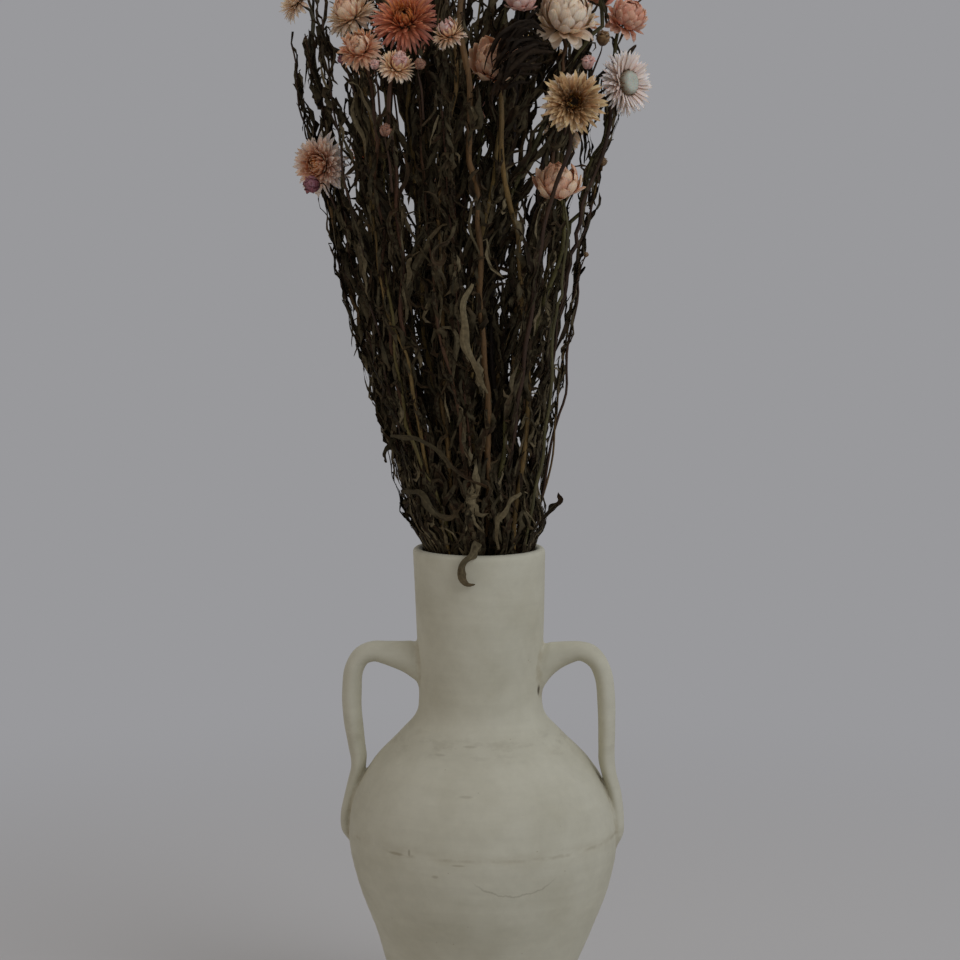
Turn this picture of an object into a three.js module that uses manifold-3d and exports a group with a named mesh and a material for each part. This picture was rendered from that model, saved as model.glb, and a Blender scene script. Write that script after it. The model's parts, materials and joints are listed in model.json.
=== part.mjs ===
// Dried everlasting flowers standing in a two-handled vase of cream slipped earthenware.
// Millimetres, +Z up. The origin is the middle of the vase's foot, on the surface it stands on.
// The two handles lie along X, and the bouquet's best side faces -Y.

import * as THREE from 'three';
import { mergeVertices } from 'three/addons/utils/BufferGeometryUtils.js';
import Module from 'manifold-3d';

const wasm = await Module();
wasm.setup();

// Vase: one fired piece, thrown round and with its handles pressed on
const FOOT_RADIUS = 50;
const FOOT_CHAMFER = 2;
const RIM_HEIGHT = 379.5;
const WALL = 7;
const FLOOR = 11;
const LOWEST_INSIDE = 24;
const LIP_RADIUS = 3.6;
const VASE_SEGMENTS = 40;
const VASE_STEPS = 20;
// Radius and height along the outside, from above the foot to below the rim
const VASE_OUTLINE = [
  [54.5, 22], [65, 50], [80.5, 93], [93.5, 128], [99.8, 163], [95, 194],
  [81, 219], [61, 240], [47.6, 256], [45.6, 275], [47.6, 325], [49.2, 375.5],
];

// Handle: an oval strap in the XZ plane, from inside the neck's wall to a tail on the belly
const HANDLE_ROUTE = [
  [44.5, 293.4], [60, 297.5], [74, 301.5], [84.5, 299], [91, 289.5], [94, 275], [94.8, 257],
  [94, 240], [92.5, 224], [93.5, 211], [97, 198], [99.6, 186], [100.6, 174], [98.5, 162],
];
// Along the route: share of its length, thickness in the XZ plane and width along Y
const HANDLE_SIZES = [
  [0, 34, 28], [0.08, 24, 26], [0.17, 16.5, 22], [0.35, 14.5, 21], [0.6, 13, 21],
  [0.75, 10.5, 22], [0.93, 9, 20], [1, 4, 9],
];
const HANDLE_STEPS = 22;
const HANDLE_SIDES = 10;

// Bouquet: the stems pass the neck side by side and spread evenly above it. The bundle's
// radius grows from the belly to the neck and on by SPREAD at the top, and its middle leans left.
const BOUQUET_TURN = THREE.MathUtils.degToRad(5);
const BOUQUET_TOP = 850;
const BELLY_BUNDLE = 27;
const BELLY_BUNDLE_TOP = 150;
const NECK_BUNDLE = 35;
const NECK_BUNDLE_FROM = 290;
const SPREAD_FROM = 375;
const SPREAD = 96;
const SPREAD_POWER = 0.9;
const LEAN = -17;
const LEAN_POWER = 0.85;

// Stems: each sways in its own phase, slower from front to back than from side to side
const WAVE_LENGTH = 210;
const WAVE_SLOWER = 0.8;
const WAVE_IN_VASE = 0.7;
const WAVE_ON_TOP = 5;
const PHASE_STEP = 2.4;
const STEM_RADIUS_LOW = 2.4;
const STEM_RADIUS_HIGH = 1.5;
const STEM_STEPS = 17;
const STEM_SIDES = 6;
const STEM_HEIGHTS = [80, 150, 220, 290, 345, 390, 435, 480, 530, 580, 630, 680, 730, 780];
// Under its head a stem drops straight for a while, bends and meets the head's back
const STEM_GAP = 0.4;
const STEM_BEND = 10;
const STEM_DROP = 26;
const STEM_CLEAR_OF_DROP = 20;
// Places of the stems in the neck, as shares of the bundle's radius. The back is left open.
const OUTER_RING = { share: 0.87, first: 117, last: 423 };
const INNER_RING = { share: 0.42, first: 120, last: 428.6 };
// The cut ends stand at a few heights over the vase's floor
const LOWEST_STEM_END = 16;
const STEM_END_STEP = 4;
const STEM_END_HEIGHTS = 5;

// Flower heads as closed outlines: radius and height as shares of the head's radius
const HEAD_OUTLINES = {
  open: [[0, 0], [0.3, 0.02], [0.72, 0.1], [1, 0.3], [0.93, 0.5], [0.5, 0.62], [0, 0.55]],
  dome: [[0, 0], [0.35, 0.03], [0.82, 0.22], [1, 0.55], [0.88, 0.92], [0.5, 1.16], [0, 1.22]],
  cup: [[0, 0], [0.35, 0.04], [0.78, 0.34], [1, 0.9], [0.9, 1.02], [0.5, 0.84], [0, 0.78]],
};
const HEAD_SEGMENTS = 12;

// Name, centre in mm, the way the head faces, diameter, outline and finish.
// The outer ring goes round from the back, over the left, the front and the right.
const OUTER_HEADS = [
  ['coral_back', [-48, 104, 764], [-0.3, 0.8, 0.5], 42, 'open', 'coral'],
  ['cream_back_left', [-101, 66, 776], [-0.7, 0.45, 0.55], 40, 'dome', 'cream'],
  ['cream_far_left', [-137, 6, 780], [-0.75, -0.25, 0.6], 32, 'open', 'cream'],
  ['orange_left', [-118, -28, 659], [-0.45, -0.85, 0.15], 43, 'open', 'orange'],
  ['cream_pink_left', [-93, -46, 764], [-0.45, -0.45, 0.75], 35, 'open', 'cream'],
  ['peach_left', [-86, -82, 742], [-0.3, -0.75, 0.55], 30, 'open', 'peach'],
  ['pink_tipped', [-56, -104, 730], [0.1, -0.55, 0.83], 24, 'cup', 'pink'],
  ['white_spiky', [-24, -104, 752], [-0.35, -0.5, 0.78], 20, 'cup', 'cream'],
  ['peach_shaded', [6, -80, 733], [-0.2, -0.7, 0.65], 32, 'cup', 'peach'],
  ['salmon_cup', [54, -66, 648], [-0.15, -0.35, 0.92], 34, 'cup', 'peach'],
  ['gold_brown', [64, -112, 702], [0.12, -0.95, 0.05], 44, 'open', 'gold'],
  ['white_dome', [60, -48, 764], [0.1, -0.6, 0.8], 38, 'dome', 'cream'],
  ['pale_daisy', [103, -38, 718], [0.72, -0.69, 0.08], 44, 'open', 'cream'],
  ['coral_dome', [107, 2, 765], [0.6, -0.35, 0.7], 28, 'dome', 'coral'],
  ['orange_red', [85, 38, 786], [0.4, 0.1, 0.9], 28, 'cup', 'orange'],
  ['peach_back_right', [74, 88, 772], [0.5, 0.65, 0.55], 40, 'open', 'peach'],
  ['gold_back', [28, 112, 750], [0.2, 0.85, 0.45], 38, 'open', 'gold'],
];
const INNER_HEADS = [
  ['pink_crown_back', [-36, 60, 822], [-0.25, 0.45, 0.85], 42, 'open', 'pink'],
  ['cream_crown_left', [-84, 2, 818], [-0.55, -0.1, 0.82], 40, 'dome', 'cream'],
  ['orange_pink', [-54, -74, 764], [-0.1, -0.85, 0.5], 48, 'open', 'orange'],
  ['orange_crown_front', [-14, -46, 824], [-0.1, -0.5, 0.86], 42, 'open', 'orange'],
  ['pink_right', [27, -60, 776], [0.1, -0.5, 0.85], 27, 'cup', 'pink'],
  ['white_crown_right', [62, -4, 824], [0.45, -0.1, 0.88], 42, 'dome', 'cream'],
  ['coral_crown_right', [38, 56, 826], [0.3, 0.4, 0.86], 44, 'open', 'coral'],
];
const CENTRE_HEAD = ['gold_crown', [-8, 8, 846], [-0.05, 0.05, 1], 46, 'open', 'gold'];

// The leaves that lie free of the mass: name, width, thickness, whether the blade lies level
// rather than upright, and the route of its midrib, chosen by eye
const LEAVES = [
  ['over_rim', 6.5, 1.2, false, [
    [1, -36, 387.5], [-1.5, -45, 385.5], [-5.5, -53, 381], [-12, -55, 376], [-16.5, -54, 367.5],
    [-13, -53, 361], [-4.7, -52.5, 359.3],
  ]],
  ['long_pale', 7, 1.2, false, [
    [-7, -88, 577], [-11.5, -87, 565], [-13, -84, 548], [-11.5, -80, 533.5], [-6, -76, 519],
    [-0.5, -71, 507], [4.5, -65, 498.5],
  ]],
  ['ring_curled', 4, 1, true, [
    [-31.5, -95, 604], [-25.5, -97, 602], [-24.3, -98, 596.5], [-28.5, -99, 591.5],
    [-33.5, -98.5, 594], [-34, -97.5, 599.5],
  ]],
  ['twisted_left', 5.5, 1.2, false, [
    [-65, -37, 464.5], [-55, -50, 466], [-44, -60, 464], [-32.5, -64, 458], [-24.5, -64, 449],
    [-16.5, -63, 441.5], [-8, -61, 436], [4, -57, 430.5],
  ]],
  ['brown_left', 5.5, 1.2, false, [
    [-57, -26, 422.5], [-50, -40, 426], [-43.5, -50, 423.5], [-36, -55, 415.5], [-29.5, -57, 409],
    [-22.5, -58, 408.5], [-13, -58, 419],
  ]],
  ['side_left', 4.5, 1.2, false, [
    [-63, -26, 463], [-67, -29, 457], [-70, -31, 451], [-69, -33, 445.5],
  ]],
  ['side_right', 5.5, 1.2, true, [
    [43, -32, 402], [47.5, -35, 409.5], [52.5, -36.5, 415], [57, -38, 420], [55.5, -38, 424.5],
  ]],
  ['pale_right', 5, 1.2, false, [
    [27.5, -52, 426.5], [22, -54, 420.5], [15.5, -54, 412.5], [11, -53, 404.5], [10.5, -51, 394.5],
    [12.5, -49.5, 384.5],
  ]],
];
const LEAF_STEPS = 10;
const LEAF_SIDES = 6;
const LEAF_TIP = 0.2;

// Radius of the rod that every tapered rod is first drawn as
const THIN = 0.1;

const FINISHES = {
  clay: { color: '#cfcab4', roughness: 0.75 },
  stem: { color: '#6b5537', roughness: 0.85 },
  leaf: { color: '#45432f', roughness: 0.85 },
  cream: { color: '#e3cfb4', roughness: 0.7 },
  peach: { color: '#d3a283', roughness: 0.7 },
  pink: { color: '#cf9a8c', roughness: 0.7 },
  coral: { color: '#d88f78', roughness: 0.7 },
  orange: { color: '#b9703f', roughness: 0.7 },
  gold: { color: '#a8793c', roughness: 0.7 },
};

function material(name) {
  return new THREE.MeshStandardMaterial({ ...FINISHES[name], metalness: 0 });
}

function part(name, geometry, finish) {
  const mesh = new THREE.Mesh(geometry, material(finish));
  mesh.name = name;
  return mesh;
}

// A value read off a list of [share, value, ...] rows, straight between neighbouring rows
function readOff(rows, share, column) {
  const next = Math.max(1, rows.findIndex((row) => row[0] >= share));
  const [low, high] = [rows[next - 1], rows[next]];
  const between = (share - low[0]) / (high[0] - low[0]);
  return THREE.MathUtils.lerp(low[column], high[column], between);
}

// A rod along a route. Its section is an ellipse whose two half sizes come from sizeAt(share).
// It is drawn out as a thin round rod first, and then each point moves off its ring's centre.
function taperedRod(route, steps, sides, sizeAt) {
  const geometry = new THREE.ExtrudeGeometry(new THREE.Shape(ring(THIN, sides)), {
    steps,
    extrudePath: route,
    curveSegments: sides,
  });
  const centres = route.getSpacedPoints(steps);
  const frames = route.computeFrenetFrames(steps, false);
  const position = geometry.attributes.position;
  const point = new THREE.Vector3();
  for (let i = 0; i < position.count; i += 1) {
    point.fromBufferAttribute(position, i);
    let near = 0;
    for (let k = 1; k <= steps; k += 1) {
      if (point.distanceToSquared(centres[k]) < point.distanceToSquared(centres[near])) near = k;
    }
    const offset = point.clone().sub(centres[near]).divideScalar(THIN);
    const [normal, binormal] = [frames.normals[near], frames.binormals[near]];
    const [alongNormal, alongBinormal] = sizeAt(near / steps);
    point.copy(centres[near]);
    point.addScaledVector(normal, offset.dot(normal) * alongNormal);
    point.addScaledVector(binormal, offset.dot(binormal) * alongBinormal);
    position.setXYZ(i, point.x, point.y, point.z);
  }
  return geometry;
}

function ring(radius, sides) {
  return Array.from({ length: sides }, (_, i) => {
    const angle = (i / sides) * 2 * Math.PI;
    return new THREE.Vector2(radius * Math.cos(angle), radius * Math.sin(angle));
  });
}

function toSolid(geometry) {
  const bare = geometry.clone();
  bare.deleteAttribute('normal');
  bare.deleteAttribute('uv');
  const merged = mergeVertices(bare, 1e-3);
  return new wasm.Manifold(new wasm.Mesh({
    numProp: 3,
    vertProperties: new Float32Array(merged.attributes.position.array),
    triVerts: new Uint32Array(merged.index.array),
  }));
}

function toGeometry(solid) {
  const mesh = solid.getMesh();
  const geometry = new THREE.BufferGeometry();
  geometry.setAttribute('position', new THREE.BufferAttribute(mesh.vertProperties, mesh.numProp));
  geometry.setIndex(new THREE.BufferAttribute(mesh.triVerts, 1));
  geometry.computeVertexNormals();
  return geometry;
}

// The hollow body: up the outside, over the round lip, down the inside to the floor
function vaseBody() {
  const outline = new THREE.SplineCurve(VASE_OUTLINE.map(([r, z]) => new THREE.Vector2(r, z)));
  const outside = outline.getSpacedPoints(VASE_STEPS);
  const inside = outside.map((point, i) => {
    const along = outline.getTangentAt(i / VASE_STEPS);
    return new THREE.Vector2(point.x - WALL * along.y, point.y + WALL * along.x);
  }).filter((point) => point.y > LOWEST_INSIDE);
  const lipMiddle = outside.at(-1).clone().lerp(inside.at(-1), 0.5);
  const lip = [0.25, 0.5, 0.75].map((share) => new THREE.Vector2(
    lipMiddle.x + LIP_RADIUS * Math.cos(share * Math.PI),
    RIM_HEIGHT - LIP_RADIUS + LIP_RADIUS * Math.sin(share * Math.PI),
  ));
  const profile = [
    new THREE.Vector2(0, 0),
    new THREE.Vector2(FOOT_RADIUS - FOOT_CHAMFER, 0),
    new THREE.Vector2(FOOT_RADIUS, FOOT_CHAMFER),
    ...outside,
    ...lip,
    ...inside.reverse(),
    new THREE.Vector2(FOOT_RADIUS - 2 * WALL, FLOOR),
    new THREE.Vector2(0, FLOOR),
  ];
  return new THREE.LatheGeometry(profile, VASE_SEGMENTS).rotateX(Math.PI / 2);
}

function handle(side) {
  const points = HANDLE_ROUTE.map(([x, z]) => new THREE.Vector3(side * x, 0, z));
  return taperedRod(new THREE.CatmullRomCurve3(points), HANDLE_STEPS, HANDLE_SIDES, (share) => [
    readOff(HANDLE_SIZES, share, 2) / 2,
    readOff(HANDLE_SIZES, share, 1) / 2,
  ]);
}

function vase() {
  const solid = toSolid(vaseBody()).add(toSolid(handle(1))).add(toSolid(handle(-1)));
  return part('vase', toGeometry(solid), 'clay');
}

// Middle and radius of the bundle of stems at a height
function bundleAt(height) {
  const above = THREE.MathUtils.clamp((height - SPREAD_FROM) / (BOUQUET_TOP - SPREAD_FROM), 0, 1);
  const inVase = THREE.MathUtils.smoothstep(height, BELLY_BUNDLE_TOP, NECK_BUNDLE_FROM);
  const closed = THREE.MathUtils.lerp(BELLY_BUNDLE, NECK_BUNDLE, inVase);
  return {
    middle: LEAN * Math.sin(Math.PI * above ** LEAN_POWER),
    radius: closed + SPREAD * above ** SPREAD_POWER,
    above,
  };
}

// A stem's place at a height, going over from its place in the neck to its place under the head
function stemPoint(height, index, neck, top) {
  const { middle, radius, above } = bundleAt(height);
  const end = bundleAt(top.z);
  const over = THREE.MathUtils.clamp(above / end.above, 0, 1);
  const wave = THREE.MathUtils.lerp(WAVE_IN_VASE, WAVE_ON_TOP, above);
  const phase = index * PHASE_STEP;
  const turns = (2 * Math.PI * height) / WAVE_LENGTH;
  const u = THREE.MathUtils.lerp(neck.x, (top.x - end.middle) / end.radius, over);
  const v = THREE.MathUtils.lerp(neck.y, top.y / end.radius, over);
  return new THREE.Vector3(
    middle + radius * u + wave * Math.sin(turns + phase),
    radius * v + wave * Math.cos(turns * WAVE_SLOWER + 2 * phase),
    height,
  );
}

function stem(index, name, neck, base, facing) {
  const bend = base.clone().addScaledVector(facing, -STEM_BEND);
  const below = new THREE.Vector3(bend.x, bend.y, bend.z - STEM_DROP);
  const foot = LOWEST_STEM_END + STEM_END_STEP * (index % STEM_END_HEIGHTS);
  const heights = [foot, ...STEM_HEIGHTS.filter((height) => height < below.z - STEM_CLEAR_OF_DROP)];
  const points = heights.map((height) => stemPoint(height, index, neck, below));
  points.push(below, bend, base.clone().addScaledVector(facing, -STEM_GAP));
  const geometry = taperedRod(new THREE.CatmullRomCurve3(points), STEM_STEPS, STEM_SIDES, (share) => {
    const radius = THREE.MathUtils.lerp(STEM_RADIUS_LOW, STEM_RADIUS_HIGH, share);
    return [radius, radius];
  });
  return part(`stem_${name}`, geometry, 'stem');
}

function head(name, base, facing, diameter, outline, finish) {
  const profile = HEAD_OUTLINES[outline].map(([r, z]) => new THREE.Vector2(r, z));
  const geometry = new THREE.LatheGeometry(profile, HEAD_SEGMENTS).rotateX(Math.PI / 2);
  geometry.scale(diameter / 2, diameter / 2, diameter / 2);
  const mesh = part(`flower_${name}`, geometry, finish);
  mesh.position.copy(base);
  mesh.quaternion.setFromUnitVectors(new THREE.Vector3(0, 0, 1), facing);
  return mesh;
}

// A stem and its head. The head's back is where the stem ends, half its height behind its centre.
function flower(index, neck, [name, centre, way, diameter, outline, finish]) {
  const facing = new THREE.Vector3(...way).normalize();
  const height = HEAD_OUTLINES[outline].at(-1)[1] * diameter / 2;
  const base = new THREE.Vector3(...centre).addScaledVector(facing, -height / 2);
  return [
    stem(index, name, neck, base, facing),
    head(name, base, facing, diameter, outline, finish),
  ];
}

// Evenly spaced places in the neck, from the first angle to the last
function neckPlaces({ share, first, last }, count) {
  return Array.from({ length: count }, (_, i) => {
    const angle = THREE.MathUtils.degToRad(first + ((last - first) * i) / Math.max(1, count - 1));
    return new THREE.Vector2(share * Math.cos(angle), share * Math.sin(angle));
  });
}

function leaf([name, width, thickness, level, route]) {
  const path = new THREE.CatmullRomCurve3(route.map((point) => new THREE.Vector3(...point)));
  const geometry = taperedRod(path, LEAF_STEPS, LEAF_SIDES, (share) => {
    const half = (width / 2) * Math.max(LEAF_TIP, Math.sin(Math.PI * share));
    return level ? [half, thickness / 2] : [thickness / 2, half];
  });
  return part(`leaf_${name}`, geometry, 'leaf');
}

function bouquet() {
  const group = new THREE.Group();
  const heads = [...OUTER_HEADS, ...INNER_HEADS, CENTRE_HEAD];
  const places = [
    ...neckPlaces(OUTER_RING, OUTER_HEADS.length),
    ...neckPlaces(INNER_RING, INNER_HEADS.length),
    new THREE.Vector2(0, 0),
  ];
  heads.forEach((row, index) => group.add(...flower(index, places[index], row)));
  group.add(...LEAVES.map(leaf));
  group.rotation.z = BOUQUET_TURN;
  return group;
}

const object = new THREE.Group();
object.add(vase(), bouquet());

export default object;
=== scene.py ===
"""Dried everlasting flowers standing in a two-handled vase of cream slipped earthenware.

Shapes are drawn in millimetres. The bouquet is drawn in the directions of its best side, and each
finished mesh is turned to the row's directions and scaled to metres once.
"""
import json
import math
import random
from functools import partial

import bmesh
import bpy
from mathutils import Matrix, Vector, noise
from mathutils.bvhtree import BVHTree

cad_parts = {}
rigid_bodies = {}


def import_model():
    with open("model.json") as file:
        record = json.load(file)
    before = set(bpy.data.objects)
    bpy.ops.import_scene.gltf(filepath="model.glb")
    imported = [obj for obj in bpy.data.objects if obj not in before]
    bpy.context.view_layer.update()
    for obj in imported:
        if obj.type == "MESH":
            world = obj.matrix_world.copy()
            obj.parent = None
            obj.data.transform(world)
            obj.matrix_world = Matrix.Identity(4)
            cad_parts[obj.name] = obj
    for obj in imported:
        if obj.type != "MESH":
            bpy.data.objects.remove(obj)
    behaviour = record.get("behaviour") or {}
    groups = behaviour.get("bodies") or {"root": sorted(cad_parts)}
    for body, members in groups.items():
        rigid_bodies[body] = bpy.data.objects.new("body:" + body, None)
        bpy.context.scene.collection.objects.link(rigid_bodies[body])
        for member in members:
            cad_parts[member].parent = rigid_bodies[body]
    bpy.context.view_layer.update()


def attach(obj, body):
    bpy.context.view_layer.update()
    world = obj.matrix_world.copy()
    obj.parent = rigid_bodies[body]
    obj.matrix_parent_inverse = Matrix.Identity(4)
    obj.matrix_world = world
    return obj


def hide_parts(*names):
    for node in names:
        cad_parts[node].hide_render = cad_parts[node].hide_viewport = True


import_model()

MM = 0.001
BOUQUET_TURN = 5
TO_ROW = Matrix.Scale(MM, 4)
BOUQUET_TO_ROW = Matrix.Rotation(math.radians(BOUQUET_TURN), 4, "Z") @ TO_ROW
GOLDEN_ANGLE = math.pi * (3 - math.sqrt(5))
SIDEWAYS = Vector((0, 1, 0))
CURVE_STEPS = 24
# Where a second pattern is read, so that it differs from the first
ELSEWHERE = Vector((5, 1, 2))

# Camera, in the bouquet's directions: the photograph is a square of PHOTO_SIZE pixels
PHOTO_SIZE = 960
FOCAL_PIXELS = 2600
SENSOR = 36
CAMERA_PLACE = (-1.1, -1900, 649)
CAMERA_PITCH = 6.6

# Studio: softboxes by place, size, watts and colour, what they face, and the grey all round
AROUND = "#99999c"
FLOOR_COLOUR = "#c9c7c4"
FLOOR_RADIUS = 9
FLOOR_SIDES = 96
FLOOR_FADES = (0.25, 1.3)
SOFTBOXES = {
    "key": ((1500, -1500, 1750), 1600, 17.5, "#eef3ff"),
    "fill": ((-1900, -900, 900), 1500, 2.2, "#ffd9a8"),
    "top": ((200, 500, 2200), 1500, 6, "#ffffff"),
}
SOFTBOXES_FACE = (0, 0, 450)

# Vase, as in the frame: one fired piece, thrown round and with its handles pressed on. The rows
# of its foot, outline and inner floor are a radius and a height
FOOT_ROWS = [
    (16, 0), (32, 0), (44, 0), (48, 0), (49, 0.45), (49.7, 1.2), (50, 2), (50.5, 5), (51.7, 10),
    (53.1, 16),
]
FLOOR_ROWS = [(39, 14), (30, 11), (16, 11)]
RIM_HEIGHT = 379.5
WALL = 7
LOWEST_INSIDE = 24
LIP_RADIUS = 3.6
LIP_ROWS = 9
VASE_OUTLINE = [
    (54.5, 22), (65, 50), (80.5, 93), (93.5, 128), (99.8, 163), (95, 194),
    (81, 219), (61, 240), (47.6, 256), (45.6, 275), (47.6, 325), (49.2, 375.5),
]
VASE_ROW = 3.0
# The wheel-thrown axis wanders sideways, by height
VASE_LEAN = [(0, 0), (66, 0.4), (93, 2), (158, 1.5), (272, -1), (330, -1.3), (380, -1.8)]
VASE_SIDES = 144
# How far the hand-thrown wall strays from round: in soft waves, an oval that turns with the
# height, and marks from turn to turn. It is true at the foot
WALL_WANDER = 0.55
WANDER_ROUND = 1.4
WANDER_HEIGHT = 70
WALL_OVAL = 0.35
OVAL_PITCH = 130
TURN_MARK = 0.16
TURN_PITCH = 9.5
TURN_MARK_PATCHES = 2.3
TURN_MARK_SHARE = 0.4
WALL_TRUE_UP_TO = (2, 26)
# The shallow join round the belly, which sags to one side (an angle round the axis)
JOIN_HEIGHT = 170
JOIN_SAG = 2.5
JOIN_SAGS_AT = 1.2
JOIN_HALF_WIDTH = 2.6
JOIN_DEPTH = 0.35

# Handles, nearly as in the frame, from the neck to the belly: distance from the axis, height
# and thickness
RIGHT_HANDLE = [
    (42, 288, 47), (46.8, 292.2, 34), (51.2, 295.9, 26.4), (57, 299.1, 20.6), (65, 301.6, 16.4),
    (73, 302.6, 14.2), (80.5, 300.3, 14.8), (86.6, 294.3, 13.8), (90.6, 284, 13.2),
    (92.2, 273.5, 13.4), (92.8, 261, 13), (93.2, 247, 12.5), (93, 233, 12.4), (93.2, 221, 12),
    (95.2, 209.5, 11), (99.2, 195, 10.2), (102, 176, 9), (101.3, 164.5, 8.6), (97, 153.5, 4),
]
LEFT_HANDLE = [
    (42, 290.5, 43), (48.3, 293.4, 31.7), (53.5, 295.3, 26.5), (61, 297.2, 21.4), (71, 299.3, 17.4),
    (80.5, 300.2, 15.2), (89.5, 296.5, 14.4), (95.2, 286.5, 14.2), (97, 270, 14.5),
    (97, 258, 14.4), (95.6, 244, 13.9), (93.4, 229, 12.6), (92, 219, 11.8), (92.3, 211.5, 11.2),
    (94.8, 202, 10.8), (98.9, 187, 9.8), (101.2, 175, 9), (100.6, 165, 8.6), (96.5, 155.5, 4),
]
HANDLE_WIDTHS = [
    (0, 30), (0.06, 27), (0.12, 24), (0.2, 21.5), (0.6, 21), (0.8, 22), (0.94, 19), (1, 9),
]
# Share of the way over which the strap's section turns from upright, at the neck, to square
# with its run
HANDLE_TURNS_IN = (0.1, 0.24)
HANDLE_STEP = 2.4
HANDLE_SIDES = 28
HANDLE_SQUARENESS = 1.95
HANDLE_DENTS = 0.35
HANDLE_DENT_LENGTH = 14
HANDLES_APART = 7

# Patterns in the slip: size, detail, and how much they are drawn out round the vase. The shades
# are how dark and how light a pattern makes it
SLIP_PATTERNS = {
    "clouds": (58, 5, 1), "turning": (14, 3, 0.1), "brushing": (2.4, 3, 0.12), "mottling": (7, 4, 1),
    "wobble": (22, 3, 1), "wear": (15, 4, 1), "smudges": (11, 4, 0.3), "rubbing": (6, 5, 0.35),
    "jags": (9, 3, 1), "grain": (0.9, 3, 1),
}
SLIP_SHADES = {"turning": (0.97, 1.025), "brushing": (0.988, 1.012), "mottling": (0.975, 1.02)}
# Marks in the slip, in the row's directions: the join's plane, the height rubbed at the neck's
# foot, the worn lines there (how far off them the wear is full and gone, strength, pattern and
# its range, colour), the hair crack's lowest point from side to side and in height and how fast
# it rises from there, and spots by middle, half size, strength and colour
JOIN_TILT = (0.009, -0.023, 1)
RUBBED_HEIGHT = 240
WORN_LINES = [
    ("join", (0.2, 1.8), 0.24, "wear", (0.47, 0.62), "#84724f"),
    ("join", (0, 9), 0.2, "smudges", (0.48, 0.66), "#9c8f70"),
    ("neck", (2, 13), 0.22, "rubbing", (0.5, 0.64), "#8a8068"),
]
HAIR_CRACK = (31, 141.3)
HAIR_CRACK_BEND = 12.4
VASE_SPOTS = [
    ((-3.2, -58.9, 242), (6, 8, 1.1), 0.28, "#857a60"),
    ((-17, -46, 243), (7, 8, 0.9), 0.25, "#857a60"),
    ((-24.9, -60, 235.9), (5, 8, 1), 0.25, "#857a60"),
    ((-3.6, -85.5, 211.5), (6, 8, 1.2), 0.25, "#857a60"),
    ((-24.9, -95.3, 155.2), (3, 8, 1.4), 0.3, "#7d6c49"),
    ((-8.1, -99.1, 164.6), (6, 8, 1), 0.3, "#7d6c49"),
    ((-54.7, -83, 168.2), (8, 9, 1.4), 0.32, "#7d6c49"),
    ((-44.3, -88.8, 170.6), (1.2, 6, 3), 0.4, "#6f6040"),
    ((43.6, -13, 275.2), (1.6, 3.6, 4.8), 0.9, "#2c2419"),
]
# Seams of the pressed-on parts: how far they are eased, how often and how much, and how near
# points are merged
SEAM_REACH = (0.5, 6.5)
SEAM_PASSES = 14
SEAM_PULL = 0.55
SEAM_MERGE = 0.02

# Bouquet, as in the frame: the stems pass the neck side by side and spread evenly above it
BOUQUET_TOP = 850
BELLY_BUNDLE = 27
BELLY_BUNDLE_TOP = 150
NECK_BUNDLE = 35
NECK_BUNDLE_FROM = 290
SPREAD_FROM = 375
SPREAD = 96
SPREAD_POWER = 0.9
LEAN = -17
LEAN_POWER = 0.85
WAVE_LENGTH = 210
WAVE_SLOWER = 0.8
WAVE_IN_VASE = 0.7
WAVE_ON_TOP = 5
PHASE_STEP = 2.4
STEM_RADII = (2.4, 1.5)
STEM_HEIGHTS = [80, 150, 220, 290, 345, 390, 435, 480, 530, 580, 630, 680, 730, 780]
STEM_GAP = 0.4
STEM_BEND = 10
STEM_DROP = 26
STEM_CLEAR_OF_DROP = 20
OUTER_RING = (0.87, 117, 423)
INNER_RING = (0.42, 120, 428.6)
LOWEST_STEM_END = 16
STEM_END_STEP = 4
STEM_END_HEIGHTS = 5

# Heads, as in the frame but for a few millimetres: name, centre, the way the head faces,
# diameter, kind and finish
OUTER_HEADS = [
    ("coral_back", (-48, 104, 764), (-0.3, 0.8, 0.5), 42, "open", "coral"),
    ("cream_back_left", (-101, 66, 776), (-0.7, 0.45, 0.55), 40, "open", "cream"),
    ("cream_far_left", (-137, 6, 780), (-0.75, -0.25, 0.6), 32, "open", "cream"),
    ("orange_left", (-121, -28, 659), (-0.5, -0.82, -0.06), 43, "hollow", "sunset"),
    ("cream_pink_left", (-95, -46, 769), (-0.45, -0.45, 0.75), 38, "closed", "cream"),
    ("peach_left", (-86, -82, 742), (-0.3, -0.75, 0.55), 32, "closed", "peach"),
    ("pink_tipped", (-56, -104, 730), (0.35, -0.55, 0.75), 26, "rosy", "blush"),
    ("white_spiky", (-24, -104, 752), (-0.35, -0.5, 0.78), 24, "rosy", "blush"),
    ("peach_shaded", (9, -80, 732), (-0.2, -0.7, 0.65), 37, "cup", "peach"),
    ("salmon_cup", (54, -66, 648), (-0.15, -0.35, 0.92), 35, "cup", "peach"),
    ("gold_brown", (64, -112, 702), (0.12, -0.95, 0.05), 44, "nested", "gold"),
    ("white_dome", (60, -48, 766), (0.1, -0.6, 0.8), 42, "dome", "cream"),
    ("pale_daisy", (108, -38, 717.5), (0.76, -0.64, 0.08), 44, "daisy", "cream"),
    ("coral_dome", (107, 2, 767), (0.45, -0.5, 0.7), 30, "dome", "coral"),
    ("orange_red", (85, 38, 786), (0.4, 0.1, 0.9), 28, "cup", "orange"),
    ("peach_back_right", (74, 88, 772), (0.5, 0.65, 0.55), 40, "open", "peach"),
    ("gold_back", (28, 112, 750), (0.2, 0.85, 0.45), 38, "hollow", "gold"),
]
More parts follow.
